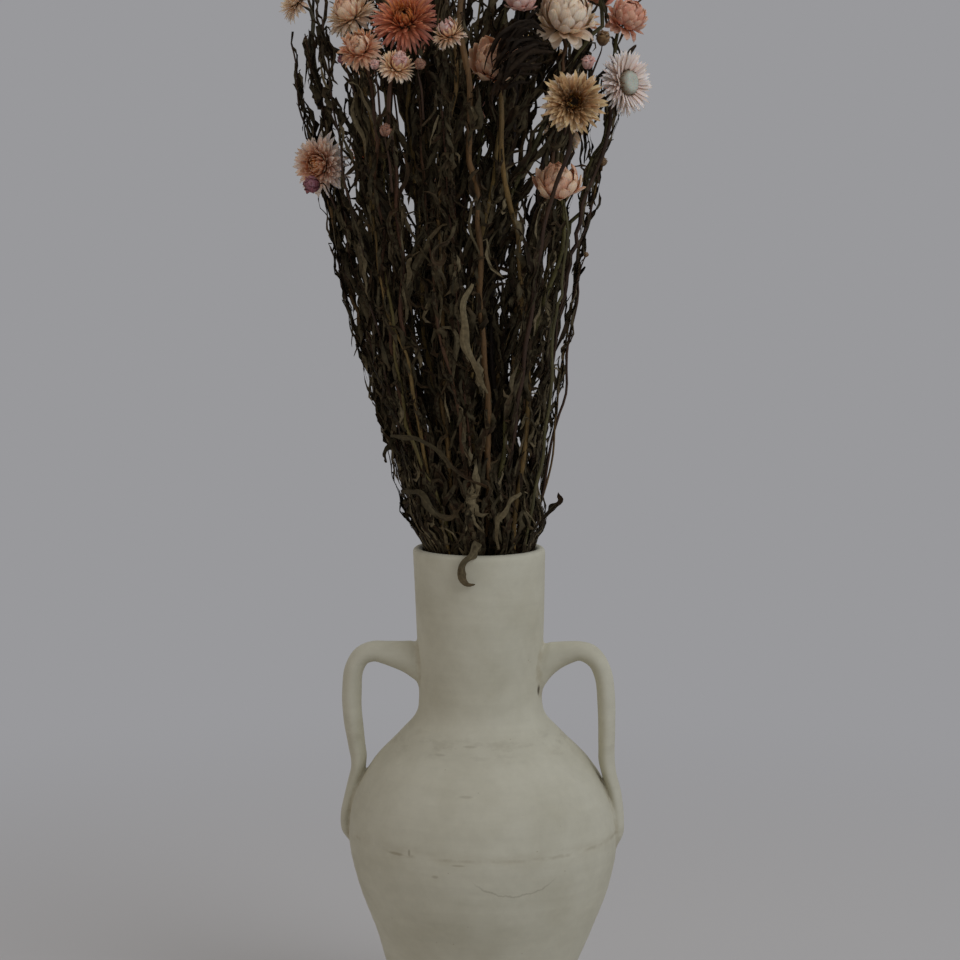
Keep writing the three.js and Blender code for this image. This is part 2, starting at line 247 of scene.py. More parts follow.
INNER_HEADS = [
    ("pink_crown_back", (-36, 60, 822), (-0.25, 0.45, 0.85), 42, "open", "pink"),
    ("cream_crown_left", (-84, 2, 818), (-0.55, -0.1, 0.82), 40, "dome", "cream"),
    ("orange_pink", (-54, -74, 764), (-0.1, -0.85, 0.5), 48, "fine", "orange"),
    ("orange_crown_front", (-14, -46, 824), (-0.1, -0.5, 0.86), 42, "open", "orange"),
    ("pink_right", (27, -60, 776), (0.1, -0.5, 0.85), 27, "cup", "pink"),
    ("white_crown_right", (62, -4, 824), (0.45, -0.1, 0.88), 42, "dome", "cream"),
    ("coral_crown_right", (38, 56, 826), (0.3, 0.4, 0.86), 44, "open", "coral"),
]
CENTRE_HEAD = ("gold_crown", (-8, 8, 846), (-0.05, 0.05, 1), 46, "hollow", "gold")

# More heads, between and behind those of the frame, and small buds on side shoots that leave the
# bouquet at the last place given
MORE_HEADS = [
    ("peach_crown_front", (-46, -16, 838), (-0.25, -0.3, 0.9), 38, "open", "peach"),
    ("pink_crown_right", (26, -22, 843), (0.2, -0.2, 0.95), 36, "dome", "pink"),
    ("cream_crown_back", (8, 86, 812), (0.05, 0.5, 0.86), 38, "dome", "cream"),
    ("coral_crown_left", (-80, 44, 810), (-0.5, 0.35, 0.8), 36, "open", "coral"),
    ("gold_crown_right", (96, -32, 806), (0.6, -0.3, 0.75), 36, "hollow", "gold"),
    ("orange_right", (108, 68, 720), (0.75, 0.5, 0.45), 30, "open", "orange"),
    ("pink_back", (-8, 108, 706), (0, 0.95, 0.3), 34, "open", "pink"),
    ("cream_back_right", (64, 92, 690), (0.4, 0.8, 0.4), 36, "dome", "cream"),
    ("orange_back_left", (-85, 78, 672), (-0.5, 0.75, 0.4), 36, "fine", "orange"),
    ("peach_side_left", (-86, 78, 738), (-0.7, 0.6, 0.4), 28, "cup", "peach"),
    ("coral_back_low", (-34, 96, 640), (-0.25, 0.9, 0.35), 30, "cup", "coral"),
    ("pink_left_low", (-76, 60, 621), (-0.8, 0.5, 0.35), 23, "cup", "pink"),
]
BUDS = [
    ("striped", (86.7, -20, 748.4), (0.1, -0.5, 0.85), 13.5, "tan", (70, -22, 690)),
    ("pink_right", (74, -70, 729.3), (0.1, -0.5, 0.85), 12, "pink", (58, -62, 680)),
    ("brown_pink", (-65.8, -98, 681.9), (0.05, -0.6, 0.8), 11, "russet", (-62, -84, 640)),
    ("purple", (-97.1, -70, 731.3), (-0.3, -0.6, 0.7), 7.5, "plum", (-84, -62, 690)),
    ("rosy", (-73, -100, 726.6), (0, -0.7, 0.7), 9, "pink", (-70, -84, 690)),
    ("brown_front", (-42.2, -102, 726.6), (0.2, -0.8, 0.6), 10, "russet", (-40, -88, 690)),
    ("maroon_left", (-119.8, -42, 645), (-0.7, -0.6, -0.1), 15, "plum", (-104, -30, 628)),
    ("olive", (87.5, -15, 661), (0.15, -0.1, 0.95), 7.5, "tan", (84, -11, 646)),
    ("small_right", (75.5, -17, 594.6), (0.4, -0.2, 0.9), 4.5, "tan", (66, -12, 560)),
    ("back_left", (-70, 96, 730), (-0.3, 0.7, 0.6), 10, "pink", (-62, 80, 680)),
    ("back_right", (60, 98, 742), (0.2, 0.7, 0.7), 11, "gold", (50, 84, 690)),
    ("crown", (-48, 34, 842), (-0.2, 0.2, 0.95), 12, "coral", (-40, 26, 790)),
]

# Bare stalks in front, from the top down: radius below and above, tone, spacing of the long and
# of the clinging leaves, and route
FRONT_STALKS = [
    ("main", 2.5, 2.1, 0.42, 40, 13, [
        (-13, -50, 812), (-14, -82, 780), (-14, -104, 742), (-9, -104, 720), (-8, -100, 696),
        (-8, -94, 659), (-3, -91, 645), (-2, -83, 600), (-1, -77, 572), (2, -66, 522), (4, -60, 493),
        (5, -48, 440), (5, -36, 415), (4, -24, 385),
    ]),
    ("straw", 2.3, 1.8, 0.56, 40, 16, [
        (8, -70, 724), (13, -86, 708), (13, -94, 690), (14, -89, 662), (20, -80, 631), (26, -73, 610),
        (27, -61, 564), (30, -54, 543), (32, -47, 521), (33, -37, 477), (28, -33, 433), (24, -27, 385),
    ]),
    ("russet", 2.1, 1.4, 0.24, 26, 12, [
        (-83, -75, 736), (-76, -80, 712), (-73, -79, 683), (-74, -74, 659), (-71, -69, 628),
        (-70, -62, 592), (-65, -55, 550), (-60, -49, 514), (-53, -43, 477), (-41, -37, 433),
        (-30, -25, 384),
    ]),
    ("pale", 2.3, 0.9, 0.6, 24, 14, [
        (-88, -44, 716), (-82, -52, 668), (-76, -60, 620), (-70, -60, 571), (-66, -58, 553),
        (-55, -59, 525), (-47, -56, 496), (-43, -48, 464), (-34, -39, 419), (-23, -31, 383),
    ]),
    ("olive", 2.5, 0.9, 0.74, 26, 14, [
        (-70, -34, 716), (-70, -44, 668), (-68, -54, 620), (-66, -61, 572), (-61, -57, 529),
        (-58, -49, 500), (-55, -44, 474), (-48, -45, 460), (-41, -44, 441), (-33, -43, 427),
        (-26, -38, 405), (-18, -33, 380),
    ]),
    ("rust", 2.2, 0.9, 0.26, 24, 12, [
        (-44, -50, 712), (-42, -60, 660), (-36, -72, 600), (-29, -72, 544), (-21, -65, 508),
        (-14, -56, 464), (-10, -43, 405), (-10, -35, 382),
    ]),
    ("grey_right", 1.7, 1.0, 0.86, 24, 10, [
        (58, -60, 634), (60, -66, 612), (56, -62, 580), (52, -56, 545), (49, -48, 505), (45, -40, 460),
        (38, -32, 415), (30, -24, 380),
    ]),
]
SPRIGS = [
    ("right", 1.3, 0.9, 0.12, 16, 4.2, [
        (83.5, -8, 648), (80, -8, 636), (76, -8, 618), (72.5, -8, 601), (69, -7, 569), (61, -5, 503),
        (54, -5, 467), (43, -4, 415), (37, -3, 381),
    ]),
    ("right_bare", 1.0, 0.7, 0.5, 90, 90, [
        (97, -20, 696), (91, -18, 686), (88, -15, 670), (87.5, -13, 659), (84, -10, 648), (79, -8, 634),
        (74, -8, 612), (66, -6, 560), (58, -5, 500), (50, -4, 440), (36, -3, 381),
    ]),
    ("left", 1.3, 0.7, 0.1, 16, 4.2, [
        (-137, -7, 746), (-134, -7, 734), (-132, -7, 702), (-122, -6, 677), (-111, -6, 641),
        (-104, -5, 598), (-96, -5, 554), (-80, -4, 507), (-68, -4, 466), (-56, -3, 422), (-38, -2, 381),
    ]),
    ("left_front", 1.3, 0.7, 0.16, 16, 4.2, [
        (-126, -22, 752), (-120, -18, 720), (-112, -8, 680), (-103, -8, 640), (-94, -18, 596),
        (-84, -24, 550), (-74, -24, 505), (-63, -22, 466), (-50, -18, 422), (-34, -14, 381),
    ]),
    ("left_inner", 1.3, 0.7, 0.1, 16, 4.2, [
        (-112, -54, 762), (-107, -60, 725), (-100, -64, 680), (-92, -62, 630), (-82, -56, 580),
        (-72, -48, 530), (-60, -40, 480), (-46, -32, 430), (-28, -22, 382),
    ]),
    ("right_front", 1.3, 0.7, 0.1, 16, 4.2, [
        (60, -46, 606), (57, -42, 570), (52, -35, 515), (46, -28, 460), (39, -20, 415), (32, -14, 381),
    ]),
    ("front_middle", 1.3, 0.7, 0.2, 16, 4.2, [
        (-26, -92, 742), (-27, -94, 700), (-24, -90, 650), (-20, -82, 600), (-16, -72, 550),
        (-12, -62, 500), (-8, -50, 440), (-6, -36, 384),
    ]),
    ("back", 1.3, 0.7, 0.1, 5.5, 6.0, [
        (20, 104, 700), (16, 96, 650), (10, 84, 590), (4, 70, 530), (2, 54, 460), (0, 34, 395),
        (0, 26, 370),
    ]),
    ("back_left", 1.3, 0.7, 0.1, 5.5, 6.0, [
        (-90, 60, 700), (-84, 56, 650), (-74, 50, 590), (-62, 44, 530), (-44, 34, 460),
        (-28, 22, 395), (-22, 18, 370),
    ]),
]
FREE_STALK_SEED = 100
# How these stalks go on below their lowest place: share of its distance from the axis, and height
FREE_STALK_FEET = [(0.6, 40), (0.8, 200), (0.85, 330)]

# Leaves that lie free, nearly as in the frame: name, width, tone, whether the blade lies level,
# and route from the stalk out
FREE_LEAVES = [
    ("over_rim", 11, 0.86, False, [
        (1, -36, 387.5), (-1.5, -46, 386), (-5.5, -53, 382), (-10, -55, 377), (-14, -54.5, 370),
        (-13.8, -54, 364.5), (-10, -53, 360.8), (-4.7, -52.5, 359.8),
    ]),
    ("long_pale", 7, 1, False, [
        (-7, -88, 577), (-11.5, -87, 565), (-13, -84, 548), (-11.5, -80, 533.5), (-6, -76, 519),
        (-0.5, -71, 507), (4.5, -65, 498.5),
    ]),
    ("ring_curled", 4, 0.8, True, [
        (-17, -83, 622), (-20, -89, 612), (-25, -95, 605), (-30, -97, 603.5), (-34, -98, 599),
        (-33, -98.5, 593.5), (-28, -99, 591.5), (-24.5, -98, 596), (-26, -97, 600.5),
    ]),
    ("twisted_left", 5.5, 0.7, False, [
        (-65, -37, 464.5), (-55, -50, 466), (-44, -60, 464), (-32.5, -64, 458), (-24.5, -64, 449),
        (-16.5, -63, 441.5), (-8, -61, 436), (4, -57, 430.5),
    ]),
    ("brown_left", 5.5, 0.55, False, [
        (-57, -26, 422.5), (-50, -40, 426), (-43.5, -50, 423.5), (-36, -55, 415.5), (-29.5, -57, 409),
        (-22.5, -58, 408.5), (-13, -58, 419),
    ]),
    ("side_left", 4.5, 0.3, False, [
        (-63, -26, 463), (-67, -29, 457), (-70, -31, 451), (-69, -33, 445.5),
    ]),
    ("side_right", 5.5, 0.3, True, [
        (43, -32, 402), (47.5, -35, 409.5), (52.5, -36.5, 415), (57, -38, 420), (55.5, -38, 424.5),
    ]),
    ("pale_right", 5, 0.94, False, [
        (27.5, -52, 426.5), (22, -54, 420.5), (15.5, -54, 412.5), (11, -53, 404.5), (10.5, -51, 394.5),
        (12.5, -49.5, 384.5),
    ]),
]
# A tuft of thin leaves arches over the shaded head: how many, and the routes they are blended from
TUFT_LEAVES = 32
TUFT_GUIDES = [
    [(42, -80, 762), (27, -88, 759), (17, -95, 750), (9, -99, 738), (4, -100, 726)],
    [(44, -84, 741), (30, -94, 738), (18, -101, 731), (9, -104, 718), (5, -104, 702)],
    [(45, -88, 724), (32, -96, 721), (20, -102, 714), (11, -105, 702), (7, -104, 686)],
]
TUFT_STRAY = (5.5, 7, 6)
TUFT_HALF_WIDTHS = (0.9, 2.9)
TUFT_STEP = 4
TUFT_ROLLS = (0.6, 1.6)
TUFT_TURN = 3
TUFT_PALEST = 0.7
FREE_LEAF_STEP = 1.6
FREE_LEAF_WIDTHS = [
    (0, 0.25), (0.1, 0.4), (0.35, 0.95), (0.6, 1), (0.85, 0.6), (0.95, 0.3), (1, 0.08),
]
RIM_LEAF_WIDTHS = [
    (0, 0.4), (0.14, 0.85), (0.28, 1), (0.4, 0.6), (0.46, 0.4), (0.58, 0.62), (0.74, 0.66),
    (0.88, 0.36), (1, 0.1),
]
FREE_LEAF_THICKNESS = 0.5
FREE_LEAF_CRUMPLE = 1.3
FREE_LEAF_ROLLS = (0.8, 1.3)
FREE_LEAF_TURNS = (0.8, 2.2)
RIM_LEAF_TURNS = (0.3, 0.5)

# Stalks: step along the route, small kinks, knots where leaves were, a thinner tip, and how
# long their lighter and darker stretches are
STALK_STEP = 7.5
KINK = 3.2
KINK_LENGTH = 34
KINKS_FADE_IN = (0.1, 0.06)
KINKS_APART = 3.7
KNOT_PITCH = 24
KNOT_SWELL = 0.16
STALK_TIP = 16
STALK_TIP_SHARE = 0.6
STALK_PATCH = 46
# Shoots of the buds
BUD_SHOOT_RADII = (0.9, 0.7)
BUD_SHOOT_TONE = 0.1
BUD_SHOOT_STEP = 3
BUD_SHOOT_RISE = 4
BUD_SHOOT_BEND = 4
LEAF_SPACING = 3.8
LEAFLESS_UNDER_HEAD = 12
LEAFLESS_UNDER = {"pale_daisy": 64}
BOUQUET_SEED = 11
MIDDLE_RING = (0.65, 100, 440)

# Dried leaves: kinds, steps, lengths, half widths, half angle of the section, twist in degrees and
# kinks. How far a sort may stand off the outline, and the share of it that is left at the neck.
# All are there from the height LEAFY_FROM up
LEAF_SEED = 4
LEAF_SORTS = {
    "long": (20, 9, (26, 60), (1.4, 3.5), (0.7, 2.1), (90, 400), 0.2),
    "clinging": (14, 7, (22, 42), (2.2, 4.0), (0.9, 2.2), (120, 480), 0.24),
}
SORT_AT_OUTLINE = {"long": (0, 0.6), "clinging": (4, 1.0)}
LEAFY_FROM = 580.0
LEAF_THICKNESS = 0.45
# A leaf's midrib, angles from the stalk in degrees: how it starts, how it ends where it hangs or
# stands, the share over which it bends, its hook from HOOK_FROM on, how it sways and in how many
# waves
LEAVES_THAT_HANG = 0.62
LEAF_STARTS = (10, 50)
LEAF_HANGS = (158, 182)
LEAF_STANDS = (0, 20)
LEAF_BENDS = (0.08, 0.26)
LEAF_HOOKS = (10, 190)
HOOK_FROM = 0.6
LEAF_SWAYS = (0.1, 0.4)
LEAF_WAVES = (0.7, 1.8)
# How a leaf is set: how far it is turned off the way outward, and how it droops, in radians
LEAF_TURNED = 2.3
LEAF_DROOPS = (-0.25, 0.2)
LEAF_CRINKLES = (0.2, 0.9)
CRINKLE_WAVES = 2.7
LEAF_WIDTHS = [(0, 0.3), (0.12, 0.45), (0.4, 1), (0.7, 0.85), (0.9, 0.4), (1, 0.06)]
THIN_SECTION = [(-1, -0.5), (0, 0), (1, -0.5), (0, -1)]
FOLDED_SECTION = [
    (-1, 0.3), (-0.5, 0.5), (0, -0.9), (0.5, 0.5), (1, 0.3), (1, -0.7), (0, -1.9), (-1, -0.7),
]

# Outline that the leaves keep to: height and distance from the bouquet's middle
OUTLINE_OF_LEAVES = [
    (0, 33), (300, 37), (374, 40), (381, 42), (387, 44), (394, 46), (402, 47.5), (415, 49.5),
    (430, 52), (452, 57), (471, 62.5), (497, 69), (543, 79), (588, 91), (633, 100), (722, 124),
    (770, 132), (850, 133),
]
LEAVES_FREE_SHARE = 0.84
# Leaves that leave the mouth spread to fill it, between these heights
MOUTH_FILLED = 0.24
MOUTH_FILLED_FROM = (370, 386)
MOUTH_FILLED_TO = (400, 460)
# How far the outline is uneven, over what length, and the heights from which it is
OUTLINE_BUMP = 7
OUTLINE_BUMP_LENGTH = 17
OUTLINE_EVEN_UP_TO = (384, 400)
# Share of a head's radius within which no leaf hides it from the best side, and the place from
# which on a head is behind the others and may be hidden
HEAD_SHOWN = 0.95
HEADS_BEHIND = 10
# Gaps that one sees through from the best side: x and z in the plane y = GAP_PLANE, half width
# and half height
GAP_PLANE = -30
GAPS = [
    (-72, 703, 4.6, 9), (-103, 749, 5.0, 8), (-62, 699, 3.6, 7), (-57, 687, 2.9, 8),
    (43, 699, 2.5, 10), (-90, 551, 2.2, 6), (-128, 735, 2.1, 6), (-124, 706, 2.5, 5), (-117, 688, 1.8, 6),
    (-101, 720, 1.8, 5), (-99, 706, 1.8, 5), (-116, 706, 1.8, 4), (68, 675, 3.2, 6), (25, 665, 2.5, 6),
    (30, 670, 2.1, 4), (20, 766, 2.1, 6), (38, 634, 2.1, 5), (-92, 634, 1.8, 6), (46, 589, 2.2, 6),
    (56, 564, 2.2, 6), (63, 574, 2.5, 10), (66, 599, 2.5, 10), (67, 624, 4.3, 12), (68, 648, 5.7, 9),
    (-50, 631, 1.8, 4), (-57, 650, 1.8, 4), (57, 742, 2.8, 4), (82, 735, 2.8, 6), (81, 760, 5.7, 6),
    (83, 681, 5.7, 9),
]
# Leafy side shoots between the front heads: how many, their route by height and share of the
# bundle's radius, their angles round it, how much closer some stand, and where their leaves end
INNER_SHOOTS = 12
INNER_SHOOT_SEED = 200
INNER_SHOOT_RADII = (1.2, 0.7)
INNER_SHOOT_ROUTE = [(660, 0.42), (700, 0.52), (745, 0.62), (795, 0.7)]
INNER_SHOOT_ANGLES = (184, 354)
INNER_SHOOT_CLOSER = (0.7, 1)
INNER_SHOOT_SPACING = 4
INNER_SHOOT_TOPS = (770, 792)

# Bracts, of length 1: half width, width along the blade, how far the innermost curl over and
# the outermost bend back in degrees, half the angle of the section, and steps along the blade
POINTED = [(0, 0.4), (0.25, 0.8), (0.5, 1), (0.72, 0.84), (0.88, 0.45), (1, 0.04)]
OVATE = [(0, 0.5), (0.25, 0.88), (0.55, 1), (0.8, 0.86), (0.94, 0.5), (1, 0.08)]
BRACT_FAMILIES = {
    "pointed": (0.14, POINTED, 55, -45, 0.8, 5),
    "fine": (0.075, POINTED, 40, -35, 0.9, 5),
    "short": (0.17, POINTED, 70, -30, 0.8, 5),
    "slender": (0.105, POINTED, 22, -14, 0.9, 5),
    "broad": (0.3, OVATE, 60, -40, 0.75, 5),
    "closing": (0.25, OVATE, 150, 78, 0.8, 6),
    "hugging": (0.3, OVATE, 95, 20, 0.9, 6),
    "floret": (0.12, OVATE, 30, -30, 1.5, 3),
}
BRACT_KINDS = 12
BRACT_THICKNESS = 0.022
# How bracts of a family differ: sideways sway, shares of the width and of the roll, and twist.
# They curl more and more towards the tip
BRACT_SWAY = 0.2
BRACT_WIDTHS = (0.88, 1.12)
BRACT_ROLLS = (0.8, 1.2)
BRACT_TWIST = 0.25
BRACT_CURL_POWER = 1.3
# How far a bract strays in angle, tilt, roll, length and curl, as shares of its whorl's jitter
BRACT_STRAYS = (1.0, 1.0, 1.5, 1.2, 12.0)

# Heads, as shares of the radius. A kind has its core's outline and its whorls: family, count,
# seats' inner and outer radius, their heights, tilts in degrees, and inner, middle and outer
# lengths, how far each bract strays, and their finish where it isn't the head's own
CORE_SIDES = 20
CORES = {
    "flat": [
        (0.09, -0.02), (0.13, 0.02), (0.3, 0.08), (0.4, 0.2), (0.36, 0.3), (0.2, 0.34), (0.06, 0.35),
    ],
    "dished": [
        (0.09, -0.02), (0.13, 0.02), (0.3, 0.06), (0.37, 0.14), (0.34, 0.22), (0.22, 0.16), (0.06, 0.12),
    ],
    "raised": [
        (0.09, -0.02), (0.13, 0.02), (0.3, 0.08), (0.42, 0.24), (0.38, 0.48), (0.24, 0.62), (0.06, 0.66),
    ],
    "disc": [
        (0.08, -0.02), (0.12, 0.02), (0.3, 0.06), (0.38, 0.16), (0.4, 0.28), (0.39, 0.4), (0.34, 0.49),
        (0.25, 0.53), (0.14, 0.52), (0.05, 0.5),
    ],
    "small": [(0.09, -0.02), (0.14, 0.02), (0.28, 0.12), (0.3, 0.3), (0.2, 0.4), (0.05, 0.42)],
}
HEAD_KINDS = {
    "open": ("flat", [
        ("floret", 44, (0.02, 0.27), (0.34, 0.3), (88, 72), (0.2, 0.17, 0.14), 0.14, "florets"),
        ("pointed", 150, (0.28, 0.36), (0.33, 0.1), (80, -22), (0.34, 0.62, 0.7), 0.12, None),
    ]),
    "fine": ("dished", [
        ("floret", 24, (0.02, 0.24), (0.16, 0.2), (88, 60), (0.14, 0.14, 0.12), 0.2, "florets"),
        ("fine", 280, (0.2, 0.36), (0.24, 0.1), (96, -22), (0.36, 0.62, 0.7), 0.14, None),
    ]),
    "hollow": ("dished", [
        ("floret", 20, (0.02, 0.2), (0.14, 0.16), (88, 60), (0.12, 0.12, 0.1), 0.2, "florets"),
        ("short", 200, (0.2, 0.37), (0.22, 0.1), (98, 8), (0.36, 0.5, 0.62), 0.12, None),
        ("pointed", 44, (0.35, 0.37), (0.1, 0.06), (6, -30), (0.64, 0.72, 0.76), 0.1, "streaked"),
    ]),
    "nested": ("dished", [
        # The nested head's florets are painted in shade, nearly black
        ("floret", 14, (0.02, 0.18), (0.1, 0.12), (88, 64), (0.1, 0.1, 0.08), 0.2, "shaded florets"),
        ("slender", 280, (0.14, 0.38), (0.15, 0.1), (86, 4), (0.2, 0.46, 0.62), 0.25, None),
        ("short", 50, (0.35, 0.37), (0.1, 0.06), (4, -34), (0.58, 0.62, 0.64), 0.14, "cream"),
    ]),
    "daisy": ("disc", [
        ("slender", 150, (0.36, 0.4), (0.27, 0.1), (26, -14), (0.62, 0.68, 0.6), 0.07, "streaked"),
        ("floret", 70, (0.37, 0.39), (0.3, 0.26), (84, 60), (0.15, 0.15, 0.13), 0.25, "florets"),
    ]),
    "dome": ("raised", [
        ("closing", 84, (0.2, 0.44), (0.58, 0.12), (90, 14), (0.75, 1.1, 0.8), 0.1, None),
        ("broad", 34, (0.4, 0.44), (0.12, 0.05), (22, -24), (0.72, 0.66, 0.54), 0.16, None),
    ]),
    "cup": ("small", [
        ("closing", 66, (0.08, 0.38), (0.36, 0.06), (88, 12), (0.85, 1.35, 1.05), 0.1, None),
        ("hugging", 26, (0.3, 0.36), (0.1, 0.03), (50, 6), (0.95, 0.85, 0.55), 0.16, None),
    ]),
    "closed": ("small", [
        ("closing", 46, (0.06, 0.32), (0.36, 0.12), (88, 40), (0.6, 0.85, 0.75), 0.1, "peach"),
        ("pointed", 110, (0.28, 0.36), (0.2, 0.06), (54, -26), (0.6, 0.68, 0.66), 0.12, None),
    ]),
    "rosy": ("small", [
        ("closing", 34, (0.06, 0.3), (0.4, 0.16), (92, 50), (0.7, 1.0, 0.9), 0.1, "pink"),
        ("pointed", 90, (0.28, 0.36), (0.2, 0.04), (54, -34), (0.64, 0.74, 0.64), 0.12, None),
    ]),
    "bud": ("small", [
        ("closing", 34, (0.04, 0.3), (0.5, 0.1), (98, 34), (1.1, 1.8, 1.4), 0.06, None),
    ]),
}
# Height of a head in shares of the radius, and of the kinds that are higher
HEAD_HEIGHT = 1.1
HIGHER_HEADS = {"dome": 1.3, "cup": 1.4, "rosy": 1.3, "bud": 1.6}

# Stalk colours by tone, from dark brown over russet, tan and straw to grey
STALK_COLOURS = [
    (0, "#2b2117"), (1, "#4a4438"), (0.2, "#4a2e1a"), (0.4, "#5f4425"), (0.6, "#70592e"),
    (0.8, "#565028"),
]

# The slot of the finishes that have none of their own
SLOTS_OF_OTHERS = {
    "sunset": "orange", "blush": "pink", "plum": "coral", "tan": "gold", "russet": "coral",
}
# Bract colours: inner base and tip, outer base and tip, the blush some have, and the dry tip
BRACT_COLOURS = {
    "cream": ("#e0b880", "#efd6b0", "#ecd2ae", "#f3e2ca", "#e4b294", "#b98f62"),
    "peach": ("#c98050", "#dfa276", "#dfa67c", "#eed0ae", "#dc8a70", "#a8703f"),
    "pink": ("#d28470", "#e2a291", "#e2ac9c", "#f1d6c8", "#cf7c70", "#a8604a"),
    "coral": ("#d67c58", "#e69e7c", "#e6a686", "#f0c2a6", "#d47c62", "#b07050"),
    "orange": ("#9a4c1c", "#d88a3c", "#de8c5c", "#e69c86", "#d0604a", "#b0503c"),
    "sunset": ("#9a4a1c", "#dc8a44", "#eeb890", "#fbeedd", "#e69a78", "#ead0b2"),
    "blush": ("#d8a070", "#eccb98", "#e6c08a", "#f4e4c8", "#dfa088", "#b98a5c"),
    "streaked": ("#ecd0bc", "#faf1e6", "#f6e6d6", "#fdf8f0", "#eac0ac", "#e6cbb2"),
    "plum": ("#5a2f3a", "#8a4a55", "#7c4048", "#a8727a", "#6a3038", "#5a3a2c"),
    "russet": ("#6a4430", "#94684e", "#8a5c46", "#a88068", "#8a5044", "#5a3a26"),
    "tan": ("#4f391e", "#7d6038", "#6a4f2c", "#9a7a50", "#7a5238", "#4a3420"),
    "gold": ("#331c0c", "#7c4c1c", "#bc8242", "#eccf9a", "#9c5626", "#94703c"),
}


def smoothstep(value, low, high):
    share = min(1, max(0, (value - low) / (high - low)))
    return share * share * (3 - 2 * share)


def mix(low, high, share):
    return low + (high - low) * share


def eased(low, high, leave, arrive, share):
    """Between two values, at the slope that leaves the one and the slope that reaches the other."""
    return (
        low * (2 * share**3 - 3 * share**2 + 1) + high * (3 * share**2 - 2 * share**3)
        + leave * (share**3 - 2 * share**2 + share) + arrive * (share**3 - share**2)
    )


def read_off(rows, share):
    """A value read off rows of (share, value), smoothly between neighbouring rows."""
    last = len(rows) - 1
    near = next((i for i in range(last) if rows[i + 1][0] >= share), last - 1)
    (start, low), (end, high) = rows[near], rows[near + 1]
    (before, lower), (after, higher) = rows[max(0, near - 1)], rows[min(last, near + 2)]
    span = end - start
    leave = (high - lower) / (end - before) * span
    arrive = (higher - low) / (after - start) * span
    return eased(low, high, leave, arrive, min(1, max(0, (share - start) / span)))


def curve_through(points, spacing):
    """Evenly spaced places on the centripetal Catmull-Rom curve through the points."""
    points = [Vector(point) for point in points]
    ends = [2 * points[0] - points[1], *points, 2 * points[-1] - points[-2]]
    fine = [points[0]]
    for a, b, c, d in zip(ends, ends[1:], ends[2:], ends[3:]):
        ab, bc, cd = [(q - p).length ** 0.5 for p, q in ((a, b), (b, c), (c, d))]
        leave = ((b - a) / ab - (c - a) / (ab + bc) + (c - b) / bc) * bc
        arrive = ((c - b) / bc - (d - b) / (bc + cd) + (d - c) / cd) * bc
        for step in range(1, CURVE_STEPS + 1):
            fine.append(eased(b, c, leave, arrive, step / CURVE_STEPS))
    reach = [0]
    for p, q in zip(fine, fine[1:]):
        reach.append(reach[-1] + (q - p).length)
    count = max(2, round(reach[-1] / spacing))
    places, near = [], 0
    for i in range(count + 1):
        wanted = reach[-1] * i / count
        while near < len(reach) - 2 and reach[near + 1] < wanted:
            near += 1
        share = (wanted - reach[near]) / (reach[near + 1] - reach[near])
        places.append(fine[near].lerp(fine[near + 1], min(1, share)))
    return places


def headings(route):
    """The direction of travel at each place of a route."""
    last = len(route) - 1
    return [(route[min(i + 1, last)] - route[max(i - 1, 0)]).normalized() for i in range(last + 1)]


def angles_round(sides):
    return [math.tau * side / sides for side in range(sides)]


def new_object(name, mesh):
    piece = bpy.data.objects.new(name, mesh)
    bpy.context.scene.collection.objects.link(piece)
    return piece


def skin(name, rings):
    """A smooth closed mesh over rings of as many points each."""
    sides = len(rings[0])
    last = sides * (len(rings) - 1)
    faces = []
    for low in range(0, last, sides):
        high = low + sides
        for side in range(sides):
            after = (side + 1) % sides
            faces.append((low + side, low + after, high + after, high + side))
    faces.append(tuple(range(sides))[::-1])
    faces.append(tuple(range(last, last + sides)))
    mesh = bpy.data.meshes.new(name)
    mesh.from_pydata([point for ring in rings for point in ring], [], faces)
    mesh.shade_smooth()
    return mesh


def mark(mesh, name, values):
    """Keeps a number for each point of a mesh, which the trees and materials read."""
    mesh.attributes.new(name, "FLOAT", "POINT").data.foreach_set("value", values)


def finish_piece(piece, slot, *nodes, matrix=BOUQUET_TO_ROW):
    """Puts a finished mesh where it belongs and gives it its place in the frame."""
    piece.data.transform(matrix)
    piece.data.update()
    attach(piece, "root")
    if nodes:
        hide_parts(*nodes)


# Nodes

def fill(node, inputs):
    """Sets a node's inputs, by name or number, to a value, a hex colour, a socket or the first
    output of another node."""
    for key, value in inputs.items():
        ready = [socket for socket in node.inputs if socket.enabled]
        socket = ready[key] if isinstance(key, int) else next(s for s in ready if s.name == key)
        if isinstance(value, bpy.types.Node):
            value = next(s for s in value.outputs if s.enabled)
        if isinstance(value, bpy.types.NodeSocket):
            node.id_data.links.new(value, socket)
        else:
            socket.default_value = linear(value) if str(value).startswith("#") else value


def add(tree, kind, *inputs, **settings):
    """Adds a node with its settings. Its inputs come in order, or in one dictionary."""
    node = tree.nodes.new(kind if "Node" in kind else f"ShaderNode{kind}")
    for name, value in settings.items():
        setattr(node, name, value)
    named = inputs and isinstance(inputs[0], dict)
    fill(node, inputs[0] if named else dict(enumerate(inputs)))
    return node


def linear(colour):
    """A colour written as sRGB hex, as the linear values that Blender's sockets take."""
    parts = [int(colour[i:i + 2], 16) / 255 for i in (1, 3, 5)]
    return [c / 12.92 if c <= 0.04045 else ((c + 0.055) / 1.055) ** 2.4 for c in parts] + [1]


def per_metre(size):
    """The scale of a pattern on Object coordinates whose features are this many millimetres."""
    return 1 / (size * MM)


# Vase

